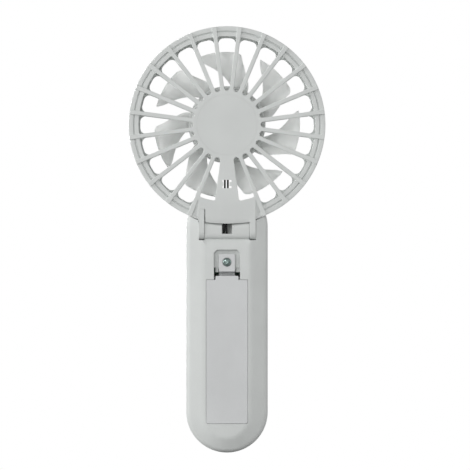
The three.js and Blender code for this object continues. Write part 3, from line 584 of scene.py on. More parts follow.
def recess(loop, floor, mouth, corner=0.15, lip=0.2, past=3.0):
    """A cutter for a recess: the floor meets the walls in a small curve, and the mouth is rounded."""
    levels = edge_levels(floor, mouth, corner, -lip)
    sections = [(h, shift_in(loop, inset) if inset else loop) for h, inset in levels]
    sections.append((mouth + past, sections[-1][1]))
    return skin(sections)


def turned(profile, axis="y", centre=HUB, steps=128, soft=0.0):
    """A closed profile of (radius, height) turned about the named axis."""
    outline = soften(profile, soft, closed=profile[0][0] > 0) if soft else profile
    outline = [(max(r, 0.0), h) for r, h in outline]
    points, faces = [], []
    count = len(outline)
    for step in range(steps):
        angle = 2 * math.pi * step / steps
        c, s = math.cos(angle), math.sin(angle)
        for r, h in outline:
            if axis == "y":
                point = (r * s, h, r * c)
            elif axis == "x":
                point = (h, r * c, r * s)
            else:
                point = (r * c, r * s, h)
            points.append((Vector(point) + Vector(centre)) * MM)
    for step in range(steps):
        for i in range(count):
            j = (i + 1) % count
            if outline[i][0] < 1e-9 and outline[j][0] < 1e-9:
                continue
            here, following = step * count, ((step + 1) % steps) * count
            faces.append((here + i, here + j, following + j, following + i))
    return mesh_object("turned", points, faces)


def rod(r, low, high, axis="y", centre=HUB, steps=64, edge=0.0):
    """A round bar, its end edges softened if an edge is given."""
    if not edge:
        return turned([(0, low), (r, low), (r, high), (0, high)], axis, centre, steps)
    profile = soften([(0, low), (r, low), (r, high), (0, high)], edge, closed=False)
    return turned(profile, axis, centre, steps)


def pipe(inner, outer, low, high, axis="y", centre=HUB, steps=96, soft=0.0):
    return turned([(inner, low), (outer, low), (outer, high), (inner, high)], axis, centre, steps, soft)


def block(x, y, z):
    """A box from its (low, high) along each axis."""
    loop = [(x[0], z[0]), (x[1], z[0]), (x[1], z[1]), (x[0], z[1])]
    return skin([(y[0], loop), (y[1], loop)])


def boolean(base, others, operation):
    """Joins or cuts base with each of the others, which are used up."""
    for other in others:
        modifier = base.modifiers.new("boolean", "BOOLEAN")
        modifier.object = other
        modifier.operation = operation
        modifier.solver = "MANIFOLD"
        graph = bpy.context.evaluated_depsgraph_get()
        mesh = bpy.data.meshes.new_from_object(base.evaluated_get(graph))
        base.modifiers.clear()
        old = base.data
        base.data = mesh
        bpy.data.meshes.remove(old)
        bpy.data.objects.remove(other)
        if not mesh.polygons:
            raise RuntimeError("a boolean left nothing")
    return base


def join(base, *others):
    return boolean(base, others, "UNION")


def cut(base, *others):
    return boolean(base, others, "DIFFERENCE")


def keep(base, *others):
    return boolean(base, others, "INTERSECT")


def together(items):
    """Separate solids that don't touch, as one object, so that one boolean takes them all."""
    shape = bmesh.new()
    for item in items:
        shape.from_mesh(item.data)
        bpy.data.objects.remove(item)
    mesh = bpy.data.meshes.new("together")
    shape.to_mesh(mesh)
    shape.free()
    result = bpy.data.objects.new("together", mesh)
    bpy.context.scene.collection.objects.link(result)
    return result


def finish_piece(item, name, body, nodes, finish, bevel=0.12):
    """Names, shades and paints a piece, puts it on its body, and hides the CAD nodes that it stands for."""
    item.name = name
    mesh = item.data
    mesh.materials.clear()
    mesh.materials.append(FINISHES[finish])
    mesh.polygons.foreach_set("use_smooth", [True] * len(mesh.polygons))
    mesh.set_sharp_from_angle(angle=math.radians(32))
    if bevel:
        modifier = item.modifiers.new("edge", "BEVEL")
        modifier.width = bevel * MM
        modifier.segments = 2
        modifier.limit_method = "ANGLE"
        modifier.angle_limit = math.radians(50)
        modifier.use_clamp_overlap = True
    item.modifiers.new("flat_faces", "WEIGHTED_NORMAL").keep_sharp = True
    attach(item, body)
    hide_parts(*nodes)
    return item


# ---- cage ------------------------------------------------------------------------------------

def opening(centre_angle, outer_r, corner, bar_half):
    """One wedge opening between two bars: a round inner end and two rounded outer corners."""
    half = PITCH / 2
    end_centre = (OPENING_INNER_R - BAR_HALF) / (1 - math.sin(math.radians(half)))
    end_r = end_centre - OPENING_INNER_R + BAR_HALF - bar_half
    corner_angle = half - math.degrees(math.asin((bar_half + corner) / (outer_r - corner)))
    cu = (outer_r - corner) * math.cos(math.radians(corner_angle))
    cv = (outer_r - corner) * math.sin(math.radians(corner_angle))
    side = 90 + half
    points = arc(end_centre, 0, end_r, end_r, side, 360 - side, 8)
    points += arc(cu, -cv, corner, corner, -side, -corner_angle, 6)
    points += arc(0, 0, outer_r, outer_r, -corner_angle, corner_angle, 4)[1:-1]
    points += arc(cu, cv, corner, corner, corner_angle, side, 6)
    return [around(u, centre_angle, v) for u, v in points]


def gap_sides(angle):
    """The gap between two raised bars: in from the rim, round the inner end, and out again."""
    half = PITCH / 2
    end_centre = (OPENING_INNER_R - BAR_HALF) / (1 - math.sin(math.radians(half)))
    end_r = end_centre - OPENING_INNER_R
    side = 90 + half
    inner_end = [around(u, angle, v) for u, v in arc(end_centre, 0, end_r, end_r, 360 - side, side, 8)]
    low_bar, high_bar = angle - half, angle + half
    start = [around(BAR_END_R, low_bar, BAR_HALF_ON_RING), around(REAR_OPENING_R, low_bar, BAR_HALF)]
    end = [around(REAR_OPENING_R, high_bar, -BAR_HALF), around(BAR_END_R, high_bar, -BAR_HALF_ON_RING)]
    return start + inner_end + end


def plate_foot(facing, x):
    """The height of the neck plate's lower edge: a shallow bow at the back, the ring's curve in front."""
    if facing > 0:
        return PLATE_FOOT_Z + PLATE_FOOT_BOW * x * x
    return HUB_Z - math.sqrt(BAR_END_R ** 2 - x * x)


def raised_outline(facing):
    """The outline of everything that stands at full height: disc, bars and neck plate."""
    points = []
    for i in range(BAR_COUNT):
        angle = (i * PITCH - 90 + 2 * PITCH) % 360
        if abs(angle - 270) > 1.5 * PITCH:
            points += gap_sides(angle)
    lean = math.radians(1.5 * PITCH)
    shoulder_r = (PLATE_HALF + BAR_HALF * math.cos(lean)) / math.sin(lean)
    left_bar, right_bar = 270 - 1.5 * PITCH, 270 + 1.5 * PITCH
    points += [around(BAR_END_R, left_bar, BAR_HALF_ON_RING), around(shoulder_r, left_bar, BAR_HALF)]
    points += [(x, plate_foot(facing, x)) for x in (PLATE_HALF * (i / 10 - 1) for i in range(21))]
    points += [around(shoulder_r, right_bar, -BAR_HALF), around(BAR_END_R, right_bar, -BAR_HALF_ON_RING)]
    return points


def band(outer_r, corner):
    """The recessed band that the bars cross, with the outer end of each opening cut into it."""
    low, high = HEAD_BACK - GRILLE_THICK + 0.05, HEAD_BACK - BAND_DROP
    ring = pipe(outer_r - 3.2, BAND_OUTER_R, low, high, soft=0.25, steps=192)
    cuts = []
    for i in range(BAR_COUNT):
        if abs(i * PITCH - 270) > PITCH:
            cuts.append(cutter(opening(i * PITCH, outer_r, corner, BAR_HALF - 0.06), low, high, 0.2))
    return cut(ring, together(cuts))


def grille(facing, opening_r, corner):
    """A grille's face, band and ring wall, built facing +Y and mirrored for the front."""
    inside = HEAD_BACK - GRILLE_THICK
    groove = pipe(BAND_OUTER_R - 0.6, RIM_INNER_R + 0.6, inside + 0.1, HEAD_BACK - GROOVE_DROP, steps=192)
    rim = [
        (HEAD_R - RING_WALL, SPLIT), (HEAD_R, SPLIT), (HEAD_R, HEAD_BACK - RIM_DROP),
        (RIM_INNER_R, HEAD_BACK - RIM_DROP), (RIM_INNER_R, inside + 0.3), (HEAD_R - RING_WALL, inside + 0.3),
    ]
    face = prism(raised_outline(facing), inside, HEAD_BACK, 0.2, EDGE)
    face = join(face, band(opening_r, corner), groove, turned(rim, steps=192, soft=0.45))
    cuts = []
    for angle in (270 - PITCH, 270, 270 + PITCH):
        if facing < 0 or angle != 270:
            cuts.append(cutter(opening(angle, PLATE_TOP_R, 0.9, BAR_HALF), inside, HEAD_BACK, EDGE))
    face = join(cut(face, together(cuts)), shoulder(-1), shoulder(1))
    return face if facing > 0 else mirrored(face)


def shoulder(side):
    """The smooth face that falls away from the neck plate's upright edge to the next bar, on one side."""
    outer_r = HEAD_R - 1.0
    bar = 270 + side * 1.5 * PITCH
    foot = 270 + side * math.degrees(math.asin((PLATE_HALF - 0.4) / outer_r))
    loop = [around(39.0, bar)] + arc(0, HUB_Z, outer_r, outer_r, bar, foot, 6)
    loop.append((side * (PLATE_HALF - 0.4), HUB_Z - 36.5))
    under = [(x, HEAD_BACK - GRILLE_THICK + 0.1, z) for x, z in loop]
    face = [(x, HEAD_BACK - 0.25 - 0.32 * (abs(x) - PLATE_HALF + 0.4), z) for x, z in loop]
    return tube_of([under, face])


def mirrored(item):
    """The same solid on the other side of the cage's middle plane."""
    item.data.transform(Matrix.Scale(-1, 4, (0, 1, 0)))
    item.data.flip_normals()
    return item


def cap_recess():
    loop = arc(0, HUB_Z, CAP_R + 0.02, CAP_R + 0.02, 0, 360, 160)[:-1]
    return recess(loop, HEAD_BACK - CAP_THICK - 0.1, HEAD_BACK, 0.01, 0.03)


def squared_arc(r, power, start, end, steps):
    """Points on a circle about the hinge axis that is squared off by the power, in Y and Z."""
    points = []
    for i in range(steps + 1):
        angle = math.radians(start + (end - start) * i / steps)
        c, s = math.cos(angle), math.sin(angle)
        reach = r / (abs(c) ** power + abs(s) ** power) ** (1 / power)
        points.append((HINGE_Y + reach * c, HINGE_Z + reach * s))
    return points


def ear_outline(top):
    back, front = HINGE_Y + EAR_R, HINGE_Y - EAR_R
    foot = squared_arc(EAR_R, 2.4, 180, 360, 40)
    return [(y, HINGE_Z + (z - HINGE_Z) * EAR_FOOT / EAR_R) for y, z in foot] + [(back, top), (front, top)]


def arm_window():
    """The window in the neck arm, with a small tab at each side that steadies the leads."""
    low, high = WINDOW_Z
    tab = (low + 1, high - 1)
    left, right = -1.2, 1.8
    loop = [
        (-WINDOW_HALF, low), (WINDOW_HALF, low), (WINDOW_HALF, tab[0]), (right, tab[0]),
        (right, tab[1]), (WINDOW_HALF, tab[1]), (WINDOW_HALF, high), (-WINDOW_HALF, high),
        (-WINDOW_HALF, tab[1]), (left, tab[1]), (left, tab[0]), (-WINDOW_HALF, tab[0]),
    ]
    return cutter(soften(loop, 0.17), 10, HEAD_BACK, 0.07)


def rear_grille():
    hinge = (0, HINGE_Y, HINGE_Z)
    inside = HEAD_BACK - GRILLE_THICK
    ribs = (111.6, HUB_Z - POD_R + 0.3)
    eased_foot = [(HEAD_BACK + 0.01, 113.4), (12.85, 110.2), (HEAD_BACK + 2, 110.2), (HEAD_BACK + 2, 113.4)]
    body = join(
        grille(1, REAR_OPENING_R, REAR_OPENING_CORNER),
        pipe(POD_BORE_R, POD_R, POD_FLOOR_Y, inside + 0.5, soft=0.3),
        rod(POD_R - 0.1, POD_FLOOR_Y + 0.05, POD_FLOOR_Y + 1.4),
        block((-3.2, -2.2), (9.3, inside + 0.5), ribs),
        block((2.2, 3.2), (9.3, inside + 0.5), ribs),
        prism(ear_outline(CHEEK_TOP), -PLATE_HALF, -EAR_IN, 0.15, 0.35, axis="x"),
        block((9.5, 13.6), (2.7, 4.15), (112.9, CHEEK_TOP)),
    )
    body = cut(
        body,
        cap_recess(),
        rod(POD_BORE_R, POD_FLOOR_Y + 1.4, HEAD_BACK, steps=96),
        rod(2.6, POD_FLOOR_Y - 1, 0),
        block((-2.6, 2.6), (9.3, 11.9), (HUB_Z - POD_R - 0.3, HUB_Z - POD_BORE_R + 1)),
        arm_window(),
        rod(KNUCKLE_ROOM_R, -KNUCKLE_OUT - 0.1, KNUCKLE_OUT + 0.15, "x", hinge, steps=96),
        prism(eased_foot[::-1], -KNUCKLE_OUT, KNUCKLE_OUT, 0, 0, axis="x"),
        block((-2.0, 2.8), (6.8, 11), (109, 114)),
        block((SLOT_IN, CHEEK_OUT + 0.06), (HINGE_Y - EAR_R - 0.2, HEAD_BACK + 1), (100, CHEEK_TOP + 0.12)),
    )
    body = join(body, rod(PEG_R, -EAR_IN - 1, -EAR_IN + 5, "x", hinge, edge=0.3))
    return finish_piece(body, "rear_grille_moulding", "head", ["rear_grille"], "shell_plastic", 0.1)


def front_grille():
    inner = HEAD_R - RING_WALL
    lip = pipe(inner - 1.5, inner - 0.3, -3, 1.8, steps=192)
    lip = cut(lip, block((-14.2, 14.2), (-0.15, 3), (100, 120)))
    root = pipe(inner - 1.5, inner + 0.5, -3, -1.8, steps=192)
    body = join(grille(-1, FRONT_OPENING_R, FRONT_OPENING_CORNER), root, lip)
    body = cut(body, mirrored(cap_recess()))
    return finish_piece(body, "front_grille_moulding", "head", ["front_grille"], "shell_plastic", 0.1)


def hinge_cheek():
    lobe = prism(ear_outline(CHEEK_TOP), EAR_IN, CHEEK_OUT, 0.3, 0.12, axis="x")
    peg = rod(PEG_R, EAR_IN - 5, EAR_IN + 1, "x", (0, HINGE_Y, HINGE_Z), edge=0.3)
    body = join(lobe, peg)
    return finish_piece(body, "hinge_cheek_moulding", "head", ["hinge_cheek"], "shell_plastic", 0.1)


def round_cap(name, node, facing):
    """A slightly crowned round cap with a softened rim."""
    crown = 0.05
    top = HEAD_BACK
    profile = [(0, top - CAP_THICK), (CAP_R, top - CAP_THICK)]
    profile += arc(CAP_R - 0.06, top - 0.06 - crown, 0.06, 0.06, 0, 80, 4)
    profile += [(r, top - crown * (r / CAP_R) ** 2) for r in (13.0, 10.0, 7.0, 4.0)] + [(0, top)]
    body = turned(profile, steps=160)
    if facing < 0:
        mirrored(body)
    return finish_piece(body, name, "head", [node], "shell_plastic", 0)


# ---- impeller --------------------------------------------------------------------------------

BLADE_STATIONS = [
    (17.9, 31.3, 56.5, 6.2, -7.2),
    (21.5, 24.5, 53.2, 6.0, -6.8),
    (26.4, 13.9, 44.5, 5.5, -6.2),
    (31.2, 4.2, 38.5, 5.0, -5.6),
    (34.2, 0.7, 36.0, 4.6, -5.1),
    (35.3, 0.3, 32.4, 4.5, -5.0),
]


def smooth_between(rows, position):
    """A smooth curve through the rows, read at a fractional row number."""
    i = min(int(position), len(rows) - 2)
    t = position - i
    before, here = rows[max(i - 1, 0)], rows[i]
    following, after = rows[i + 1], rows[min(i + 2, len(rows) - 1)]
    values = []
    for a, b, c, d in zip(before, here, following, after):
        values.append(b + 0.5 * t * (c - a + t * (2 * a - 5 * b + 4 * c - d + t * (3 * (b - c) + d - a))))
    return values


def blade(tip_angle):
    """One curved blade, full along the middle of its chord and rounded at its edges and tip."""
    chord_steps, span_steps = 16, 30
    rings = []
    for k in range(span_steps + 1):
        r, lead, trail, lead_y, trail_y = smooth_between(BLADE_STATIONS, 5 * k / span_steps)
        to_tip = min(1.0, (span_steps - k) / 3)
        fullness = 0.35 + 0.65 * math.sqrt(to_tip * (2 - to_tip))
        ring = []
        for side in (1, -1):
            for i in range(chord_steps + 1):
                step = i if side > 0 else chord_steps - i
                along = 0.5 - 0.5 * math.cos(math.pi * step / chord_steps)
                thick = side * fullness * math.sqrt(max(0.0, 1 - (2 * along - 1) ** 6))
                camber = 1.1 * math.sin(math.pi * along)
                u, v = around(r, tip_angle + lead + (trail - lead) * along + thick * 1.1)
                ring.append((u, lead_y + (trail_y - lead_y) * along - camber + thick * 0.44, v))
        rings.append(ring)
    return tube_of(rings)


def tube_of(rings):
    """A closed skin through rings of points in space, in millimetres. Strips close its two ends."""
    count = len(rings[0])
    points = [Vector(point) * MM for ring in rings for point in ring]
    last = (len(rings) - 1) * count
    faces = []
    for i in range((count - 1) // 2):
        strip = [i, i + 1, count - 2 - i, count - 1 - i]
        if strip[1] == strip[2]:
            strip.pop(2)
        faces.append(strip)
        faces.append([last + corner for corner in reversed(strip)])
    for level in range(len(rings) - 1):
        for i in range(count):
            a = level * count + i
            b = level * count + (i + 1) % count
            faces.append((a, a + count, b + count, b))
    return mesh_object("tube", points, faces)


def impeller():
    front, back = IMPELLER_BOX[0].y, IMPELLER_BOX[1].y
    bore = IMPELLER_HUB_R - IMPELLER_WALL
    outer = IMPELLER_HUB_R
    cup = turned([
        (0, front), (outer - 1.5, front), (outer, front + 1.5), (outer, back),
        (bore, back), (bore, front + 1.4), (0, front + 1.4),
    ], steps=160, soft=0.4)
    body = join(cup, rod(3, front + 0.5, -4.9))
    for i in range(BLADE_COUNT):
        body = join(body, blade(BLADE_FIRST_TIP + i * 360 / BLADE_COUNT))
    body = cut(body, rod(1.15, front + 0.7, 0))
    return finish_piece(body, "impeller_moulding", "impeller", ["impeller"], "impeller_plastic", 0)


# ---- handle ----------------------------------------------------------------------------------

REAR_PROFILE = [
    (0.3, SPLIT), (0, SPLIT + 0.3), (0, 9.0), (1.3, 10.56), (BAND_SIDE, HANDLE_BACK), (12, HANDLE_BACK),
]
FRONT_PROFILE = [
    (5, HANDLE_FRONT), (3, HANDLE_FRONT), (0.9, -11.1), (0, -9.2), (0, -SPLIT - 0.3), (0.3, -SPLIT),
]


def handle_section(inset):
    """The handle's outline moved inward, open above the cradle, its sides drawing in at the top."""
    half = HANDLE_HALF - inset
    end_half = HANDLE_HALF - inset * BAND_END / BAND_SIDE
    heights = [SHOULDER_Z + i for i in range(8)] + [ABOVE_CRADLE]
    drawn_in = [1.3 * min(1.0, (z - SHOULDER_Z) / 7) ** 2 for z in heights]
    loop = arc(0, HANDLE_HALF, half, end_half, 180, 360, 96)
    loop += [(half - d, z) for d, z in zip(drawn_in, heights)]
    loop += [(d - half, z) for d, z in zip(drawn_in[::-1], heights[::-1])]
    return loop


def handle_body(levels):
    """The handle's outline through levels of (inset, Y)."""
    return skin([(y, handle_section(inset)) for inset, y in levels])


def rear_outer():
    return handle_body(soften(REAR_PROFILE, 1.5, 6, closed=False))


def crown_wall(low, high):
    """All above an arc about the hub, across the handle's width: the wall under the cradle."""
    r = CRADLE_R + 0.5 + WALL
    reach = math.degrees(math.asin(HANDLE_HALF / r))
    top = [(HANDLE_HALF, ABOVE_CRADLE), (-HANDLE_HALF, ABOVE_CRADLE)]
    return prism(arc(0, HUB_Z, r, r, 270 - reach, 270 + reach, 32) + top, low, high, 0, 0)


def knuckles():
    return join(
        prism(squared_arc(KNUCKLE_R, 4, 0, 360, 72)[:-1], -KNUCKLE_OUT, KNUCKLE_OUT, 0.2, 0.2, axis="x"),
        block((-KNUCKLE_OUT, KNUCKLE_OUT), (3.9, HINGE_Y), (100.9, 109.8)),
        block((-KNUCKLE_OUT, KNUCKLE_OUT), (8.8, 11.2), (100.9, 104)),
    )


def door_outline(half, low, high, corner):
    points = arc(-half + corner, low + corner, corner, corner, 180, 270, 6)
    points += arc(half - corner, low + corner, corner, corner, 270, 360, 6)
    return points + [(half, high), (-half, high)]


def cradle():
    """The round hollow of the top edge. Behind the hinge axis it opens as the ring swings down past it."""
    reach = 5.8
    profile = [(0, -20), (CRADLE_R, -20)]
    for i in range(13):
        back = i * (HANDLE_BACK - HINGE_Y) / 12
        profile.append((CRADLE_R + (reach - math.sqrt(reach ** 2 - back ** 2)), HINGE_Y + back))
    profile += [(profile[-1][0] + 0.3, HANDLE_BACK + 0.2), (profile[-1][0] + 0.3, 20), (0, 20)]
    return turned(profile, steps=256)


def fold_relief():
    """The slope below the hinge, fading out towards the two side bands."""
    sections = []
    for x, depth in ((-12.9, 0), (-12.2, 0.16), (-11.2, 0.5), (-10.2, 0.84), (-9.4, 1)):
        floor = HANDLE_BACK + 0.1 - 1.25 * depth
        loop = [(HANDLE_BACK + 1, 97.2), (floor, 102.8), (floor, 103.6), (HANDLE_BACK + 1, 103.6)]
        sections.append((x, loop))
    sections += [(-x, loop) for x, loop in reversed(sections)]
    return skin(sections, "x")


def shell_screw_places():
    return [(x, z) for z in (24, 74) for x in (-7.3, 7.3)]


def rear_shell():
    backed = join(
        block((-15.7, 15.7), (2.4, 12.5), (100.6, 116)),
        block((-15.7, 15.7), (8.9, 12.5), (96.6, 101)),
        block((-LATCH_HALF - 1.2, LATCH_HALF + 1.2), (8.2, 12.5), (83.4, 99)),
        rod(2.4, 4.6, 11, centre=(0, 0, SCREW_Z)),
        crown_wall(SPLIT, 12),
    )
    bay = keep(block((-11.3, 11.3), (-8.8, 12), (12.6, 84.7)), rear_outer())
    hollow = handle_body([(WALL, -1), (WALL, 8.0), (BAND_SIDE + 0.5, HANDLE_BACK - WALL)])
    left, right = -PLATE_HALF - 0.06, CHEEK_OUT + 0.06
    pocket = [(left, POCKET_FLOOR_Z), (right, POCKET_FLOOR_Z), (right, ABOVE_CRADLE), (left, ABOVE_CRADLE)]
    door_floor = HANDLE_BACK - DOOR_THICK - 0.2
    chamfer = 1.5
    latch = [
        (-LATCH_HALF, 88.5), (LATCH_HALF, 88.5),
        (LATCH_HALF, LATCH_TOP - chamfer), (LATCH_HALF - chamfer, LATCH_TOP),
        (-LATCH_HALF + chamfer, LATCH_TOP), (-LATCH_HALF, LATCH_TOP - chamfer),
    ]
    body = cut(rear_outer(), hollow)
    body = join(body, keep(backed, rear_outer()), bay, block((-11.3, 11.3), (-8.8, 5), (12.6, 84.7)))
    body = cut(
        body,
        recess(soften(pocket, 0.3), 4.1, HANDLE_BACK, 0.2, 0.08, past=8),
        fold_relief(),
        block((CHEEK_OUT - 0.5, PLATE_HALF + 0.1), (10.8, 20), (111.3, ABOVE_CRADLE)),
    )
    body = join(body, knuckles())
    body = cut(
        body,
        cradle(),
        block((-KNUCKLE_IN, KNUCKLE_IN), (3.8, 20), (105.6, ABOVE_CRADLE)),
        block((-KNUCKLE_IN, KNUCKLE_IN), (6.4, 9.5), (95, 106)),
        rod(PEG_R + 0.25, -KNUCKLE_OUT - 1, KNUCKLE_OUT + 1, "x", (0, HINGE_Y, HINGE_Z)),
        recess(soften(latch, 0.3), LATCH_FLOOR, HANDLE_BACK, 0.1, 0.15),
        block((-LATCH_HALF, LATCH_HALF), (5.3, 20), (DOOR_HIGH + SEAM, TAB_LOW - 0.2)),
        block((-LATCH_HALF, LATCH_HALF), (9.3, 20), (TAB_LOW - 0.3, SLOT_HIGH)),
        block((LATCH_HALF - 0.7, LATCH_HALF), (6, 20), (TAB_LOW - 0.3, SLOT_HIGH)),
        block((-TAB_HALF - 0.2, TAB_HALF + 0.2), (3, 20), (TAB_LOW - 0.3, TAB_LOW + 1.4)),
        recess(door_outline(DOOR_HALF + SEAM, DOOR_LOW - SEAM, DOOR_HIGH + SEAM, 1.1), door_floor,
               HANDLE_BACK, 0.1, 0.1),
        block((-9.5, 9.5), (-7.6, 12.5), (14.2, 83.2)),
        rod(0.95, 5, 12, centre=(0, 0, SCREW_Z), steps=24),
        block((9, 12), (-6.6, -1.4), (82.3, 83.2)),
        block((9, 12), (-6.6, -1.4), (14.2, 15.1)),
        *[rod(1.05, -10, -7, centre=(x, 0, z), steps=24) for x, z in shell_screw_places()],
    )
    return finish_piece(body, "rear_shell_moulding", "handle", ["rear_shell"], "shell_plastic", 0.12)


def front_shell():
    outer = handle_body(soften(FRONT_PROFILE, 0.9, 5, closed=False))
    hollow = handle_body([(3.7, HANDLE_FRONT + WALL), (WALL, -8.7), (WALL, 1)])
    crown = keep(crown_wall(-12, -SPLIT), handle_body(soften(FRONT_PROFILE, 0.9, 5, closed=False)))
    bosses = [rod(2.2, -10.5, -9.1, centre=(x, 0, z), steps=32) for x, z in shell_screw_places()]
    posts = [rod(1.8, -10.5, -6.2, centre=(x, 0, 104), steps=32) for x in (-12.5, 12.5)]
    y, z = socket_centre()
    body = join(cut(outer, hollow), crown, *bosses, *posts)
    body = cut(
        body,
        rod(FRONT_CRADLE_R, -20, 5, steps=256),
        rod(BUTTON_BOX[1].x - 0.75, -20, -10, centre=(0, 0, BUTTON_Z), steps=96),
        rod(1.3, -20, -10, centre=(0, 0, LAMP_Z), steps=48),
        prism(slot_outline(y, z, 1.85, 4.72, 1.8), 17, 21, 0, 0, axis="x"),
        *[rod(0.95, -11.3, -8, centre=(x, 0, z), steps=24) for x, z in shell_screw_places()],
        *[rod(0.95, -10.8, -5, centre=(x, 0, 104), steps=24) for x in (-12.5, 12.5)],
    )
    return finish_piece(body, "front_shell_moulding", "handle", ["front_shell"], "shell_plastic", 0.12)


# ---- battery door ----------------------------------------------------------------------------

def battery_door():
    """The door plate with its tongue, and the sprung tab that the screw holds down."""
    inner = HANDLE_BACK - DOOR_THICK
    plate = prism(door_outline(DOOR_HALF, DOOR_LOW, DOOR_HIGH, 1.0), inner, HANDLE_BACK, 0.15, 0.18)
    bend = 5.6
    tongue = [
        (inner, DOOR_HIGH - 1), (HANDLE_BACK, DOOR_HIGH - 1), (HANDLE_BACK, TONGUE_HIGH),
        (7.6, TONGUE_HIGH), (7.6, 84.1), (inner, 84.1),
    ]
    spring = [
        (bend, 84.1), (9.4, 84.1), (9.4, TONGUE_HIGH), (bend + 1.1, TONGUE_HIGH),
        (bend + 1.1, TAB_LOW), (TAB_Y, TAB_LOW), (TAB_Y, TAB_HIGH), (11.1, TAB_HIGH),
        (11.1, 88.5), (bend, 88.5),
    ]
    ribs = [block((x - 0.4, x + 0.4), (inner - 0.25, inner + 0.5), (20, 78)) for x in (-4, 4)]
    body = join(
        plate,
        prism(soften(tongue, 0.45), -TONGUE_HALF, TONGUE_HALF, 0.25, 0.25, axis="x"),
        prism(soften(spring, 0.4), -TAB_HALF, TAB_HALF, 0.3, 0.3, axis="x"),
        *ribs,
    )
    body = cut(
        body,
        rod(2.25, 11.8, 14, centre=(0, 0, SCREW_Z)),
        rod(1.3, 10, 13, centre=(0, 0, SCREW_Z), steps=32),
    )
    return finish_piece(body, "battery_door_moulding", "battery_door", ["battery_door"], "door_plastic", 0.1)


def door_screw():
    """A small pan-head screw with a tapered cross recess and a turned thread."""
    centre = (0, 0, SCREW_Z)
    top, under, tip = SCREW_BOX[1].y, SCREW_BOX[1].y - 1.1, SCREW_BOX[0].y
    head = [(0, under - 0.2), (0.8, under - 0.2), (0.8, under), (SCREW_R, under), (SCREW_R, under + 0.45)]
    head += arc(0, under + 0.45, SCREW_R, top - under - 0.45, 12, 90, 8)
    thread = [(0, tip)]
    turns = 9
    pitch = (under - tip - 0.6) / turns
    for i in range(turns):
        base = tip + 0.5 + i * pitch
        thread += [(0.55, base), (0.8, base + pitch * 0.45), (0.55, base + pitch * 0.9)]
    thread += [(0.7, under), (0, under)]
    body = join(turned(head, centre=centre, steps=64), turned(thread, centre=centre, steps=32))
    cross = [tapered_slot(length, width, top) for length, width in ((1.3, 0.38), (0.38, 1.3))]
    body = cut(body, *cross)
    return finish_piece(body, "door_screw_turned", "battery_door", ["door_screw"], "zinc_steel", 0.04)


def tapered_slot(half_x, half_z, top):
    """One arm pair of a cross recess, narrower at its floor."""
    def loop(scale):
        x, z = half_x * scale, half_z * scale
        return [(-x, SCREW_Z - z), (x, SCREW_Z - z), (x, SCREW_Z + z), (-x, SCREW_Z + z)]
    return skin([(top - 1.0, loop(0.6)), (top - 0.1, loop(1.0)), (top + 0.5, loop(1.1))])


# ---- controls --------------------------------------------------------------------------------

def power_button():
    centre = (0, 0, BUTTON_Z)
    top, low = BUTTON_BOX[0].y, BUTTON_BOX[1].y
    flange = BUTTON_BOX[1].x
    r = flange - 1
    profile = [
        (0, top + 0.35), (3.2, top + 0.25), (5.0, top), (r - 0.5, top), (r, top + 0.6),
        (r, low - 0.7), (flange, low - 0.7), (flange, low), (0, low),
    ]
    body = turned(profile, centre=centre, steps=128, soft=0.35)
    return finish_piece(body, "power_button_cap", "power_button", ["power_button"], "button_plastic", 0)


def lamp_window():
    top, low = LAMP_BOX[0].y, LAMP_BOX[1].y
    profile = [
        (0, top + 0.05), (0.8, top + 0.1), (1.15, top + 0.35),
        (1.15, top + 2.1), (1.9, top + 2.1), (1.9, low), (0, low),
    ]
    body = turned(profile, centre=(0, 0, LAMP_Z), steps=48, soft=0.12)
    return finish_piece(body, "lamp_window_plug", "handle", ["lamp_window"], "clear_plastic", 0)


def socket_centre():
    low, high = SOCKET_BOX
    return (low.y + high.y) / 2, (low.z + high.z) / 2


def slot_outline(y, z, half, high, r):
    """An upright slot with round ends, in Y and Z."""
    points = []
    for quarter, (side, end) in enumerate([(1, 1), (-1, 1), (-1, -1), (1, -1)]):
        start = 90 * quarter
        points += arc(y + side * (half - r), z + end * (high - r), r, r, start, start + 90, 6)
    return points


def charging_socket():
    """An open metal sleeve with a contact tongue in it."""
    y, z = socket_centre()
    low, high = SOCKET_BOX[0].x, SOCKET_BOX[1].x
    sections = []
    for x, inset in ((low, 0), (high - 0.1, 0), (high, 0.1), (high, 0.2), (high - 0.1, 0.3), (low + 1, 0.3)):
        sections.append((x, slot_outline(y, z, 1.6 - inset, 4.47 - inset, 1.5 - inset)))
    sleeve = skin(sections, "x")
    left, right, bottom, top = y - 0.35, y + 0.35, z - 3.3, z + 3.3
    tongue = soften([(left, bottom), (right, bottom), (right, top), (left, top)], 0.15)
    body = join(sleeve, prism(tongue, low + 0.5, high - 0.8, 0, 0.15, axis="x"))
    return finish_piece(body, "charging_socket_sleeve", "handle", ["charging_socket"], "nickel", 0.05)


# ---- motor leads -----------------------------------------------------------------------------

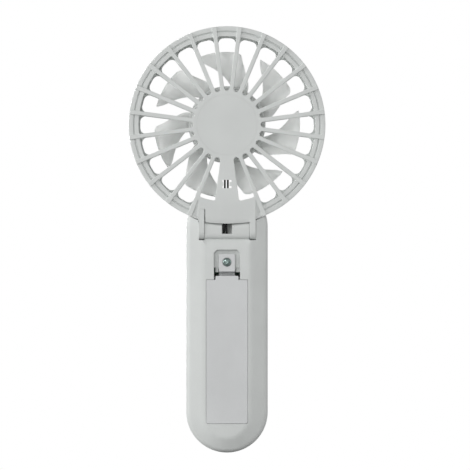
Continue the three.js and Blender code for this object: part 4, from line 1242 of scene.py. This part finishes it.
def wire(path, r):
    """A round wire along a smooth curve through the path's points."""
    sides, steps = 14, 8
    centres = [Vector(smooth_between(path, k / steps)) for k in range((len(path) - 1) * steps + 1)]
    rings = []
    for k, centre in enumerate(centres):
        forward = (centres[min(k + 1, len(centres) - 1)] - centres[max(k - 1, 0)]).normalized()
        across = forward.cross(Vector((1, 0, 0))).normalized()
        beside = forward.cross(across)
        angles = [2 * math.pi * i / sides for i in range(sides)]
        rings.append([centre + across * (r * math.cos(a)) + beside * (r * math.sin(a)) for a in angles])
    return tube_of(rings)


def motor_lead(number, terminal, window, hinge_x, lip, board):
    """One lead from the motor down the neck, across the hinge and in to the circuit board."""
    path = [
        (terminal, 11.1, 149.6), (terminal * 0.7, 11.0, 146.2), (window, 10.5, 143.2), (window, 10.2, 138),
        (window, 10.2, 127), ((window + hinge_x) / 2, 10.0, 120), (hinge_x, 9.4, 113),
        (hinge_x, HINGE_Y, HINGE_Z), (lip, 8.6, 105), (lip, 8.0, 101), (lip, 7.6, 97.6),
        ((lip + board) / 2, 4, 95.6), (board, -1, 95.4), (board, -4.3, 95.4),
    ]
    item = wire(path, LEAD_R)
    item.name = f"motor_lead_{number}"
    item.data.materials.append(FINISHES["lead_sleeve"])
    item.data.polygons.foreach_set("use_smooth", [True] * len(item.data.polygons))
    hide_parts(f"motor_lead_upper_{number}", f"motor_lead_lower_{number}")
    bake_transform(item)


# ---- everything together ---------------------------------------------------------------------

def paint_frame_nodes():
    """Gives each CAD node the procedural material of its slot in the record."""
    slots = {part["node"]: part["material_slot"] for part in frame["record"]["subparts"]}
    for name, node in frame["nodes"].items():
        node.data.materials.clear()
        node.data.materials.append(FINISHES[slots[name]])


paint_frame_nodes()
rear_grille()
front_grille()
hinge_cheek()
round_cap("rear_cap_moulding", "rear_cap", 1)
round_cap("front_cap_moulding", "front_cap", -1)
impeller()
rear_shell()
front_shell()
battery_door()
door_screw()
power_button()
lamp_window()
charging_socket()
motor_lead(1, 3, 1.05, 1.5, 1.75, 1.6)
motor_lead(2, -3, -0.4, 0.3, -0.1, -0.2)
